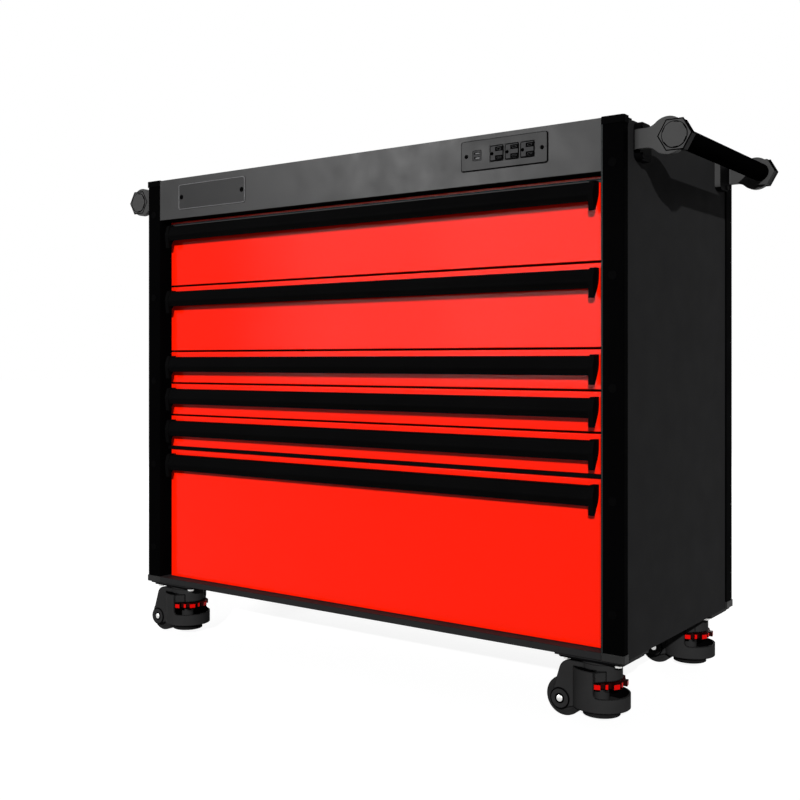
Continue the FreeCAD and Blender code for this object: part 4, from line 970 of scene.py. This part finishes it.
WEB_PLAN = ((0.0078, -0.0508), (0.0103, -0.0506), (0.0239, -0.0321), (0.0239, -0.0280), (0.0078, -0.0340))
WEB_GAP = 0.0002
WEB_ROUND = 0.0008


def caster_middle(corner):
    """The place of a caster's swivel axis in plan."""
    right, back = CORNERS[corner]
    return Vector((CASTER_X * right, CASTER_Y * back))


def mirrored(profile):
    """A (radius, height) profile followed by its mirror image across height 0."""
    return list(profile) + [(radius, -height) for radius, height in reversed(profile)]


def make_wheel(corner, middle):
    """The roller with rounded shoulders, a parting line and a stepped hub, in place of the plain one."""
    side = [(radius, inset - WHEEL_HALF) for radius, inset in WHEEL_SIDE]
    builder = bmesh.new()
    centre = (middle.x - WHEEL_TRAIL, middle.y, WHEEL_RADIUS)
    add_lathe(builder, mirrored(side + list(WHEEL_PARTING)), centre, TO_BACK, WHEEL_SEGMENTS, closed=True)
    piece = add_piece("caster_%s_tread" % corner, builder, "tyre", "caster_%s_roller" % corner)
    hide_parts("caster_%s_wheel" % corner)


def lug_outline(middle):
    """The thumb wheel's plan: lugs with a small tooth between them."""
    points = []
    for lug in range(LUGS):
        for turn, radius in LUG_PLAN:
            angle = LUG_START + (lug + turn) * (2 * math.pi / LUGS)
            points.append((middle.x + radius * math.cos(angle), middle.y + radius * math.sin(angle)))
    return points


def bore_outline(middle, outline):
    """Points on the bore that lie inward of an outline's points."""
    angles = [math.atan2(y - middle.y, x - middle.x) for x, y in outline]
    return [(middle.x + THUMB_BORE * math.cos(angle), middle.y + THUMB_BORE * math.sin(angle))
            for angle in angles]


def make_lug_ring(corner, middle):
    """The thumb wheel: red-faced lugs and small teeth, every other face dark red as painted shade of the
    same red plastic.
    """
    outline = lug_outline(middle)
    bottom, top = THUMB_Z
    builder = bmesh.new()
    rings = []
    for level, share in ((bottom, THUMB_TAPER), (bottom + THUMB_EDGE, 1), (top - THUMB_EDGE, 1),
                         (top, THUMB_TAPER)):
        plan = [(middle.x + (x - middle.x) * share, middle.y + (y - middle.y) * share) for x, y in outline]
        rings.append([builder.verts.new((x, y, level)) for x, y in plan])
    bore = bore_outline(middle, outline)
    rings += [[builder.verts.new((x, y, level)) for x, y in bore] for level in (top, bottom)]
    join_all(builder, rings, closed=True)
    piece = add_piece("caster_%s_lug_ring" % corner, builder, "thumb_painted_shade", "caster_%s_adjuster" % corner)
    piece.data.materials.append(materials["red_plastic"])
    # Only the lugs' outer faces keep the bright red; the rest is the red painted in shade.
    for face in piece.data.polygons:
        out = face.center.xy - middle
        if out.length > LUG_FACE_FROM and face.normal.xy.dot(out.normalized()) > FACING:
            face.material_index = 1
    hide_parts("caster_%s_thumb_wheel" % corner)


def make_caster_details(corner, middle):
    """Axle ends, dark rings round each axle end and hub edge as painted shade, the flange of the head and
    the webs under it.
    """
    body = "caster_%s" % corner
    axle, rings, head = bmesh.new(), bmesh.new(), bmesh.new()
    for face in SIDES:
        hub = (middle.x - WHEEL_TRAIL, middle.y + face * HUB_FACE, WHEEL_RADIUS)
        outward = (0, face, 0)
        add_lathe(axle, scaled(AXLE_END, AXLE_RADIUS), hub, outward, AXLE_SEGMENTS)
        add_lathe(rings, scaled(AXLE_RING, AXLE_RADIUS), hub, outward, AXLE_RING_SEGMENTS, closed=True)
        add_lathe(rings, grown(HUB_RING, HUB_RADIUS), hub, outward, HUB_SEGMENTS, closed=True)
        plan = [(middle.x + x, middle.y + y * -face) for x, y in WEB_PLAN]
        add_prism(head, plan, HEAD_Z[0] + WEB_GAP, CUP_TOP - WEB_GAP, WEB_ROUND)
    flange = grown(HEAD_FLANGE, HEAD_RADIUS, HEAD_Z[1])
    add_lathe(head, flange, (middle.x, middle.y, 0), UPWARD, HEAD_SEGMENTS, closed=True)
    add_piece(body + "_axle_ends", axle, "zinc_steel", body)
    add_piece(body + "_hub_rings", rings, "black_plastic", body)
    add_piece(body + "_head_flange", head, "black_nylon", body)


def make_casters():
    for corner in CORNERS:
        middle = caster_middle(corner)
        make_wheel(corner, middle)
        make_lug_ring(corner, middle)
        make_caster_details(corner, middle)


make_camera()
make_world()
make_lamps()
make_floor()
materials = make_materials()
dress_nodes()
make_plate_details()
make_outlet_details()
make_post_strips()
make_mat_details()
make_back_details()
make_handle_details()
make_liners()
make_fascia_shadow_strip()
make_casters()

bpy.context.scene.view_settings.view_transform = "Standard"
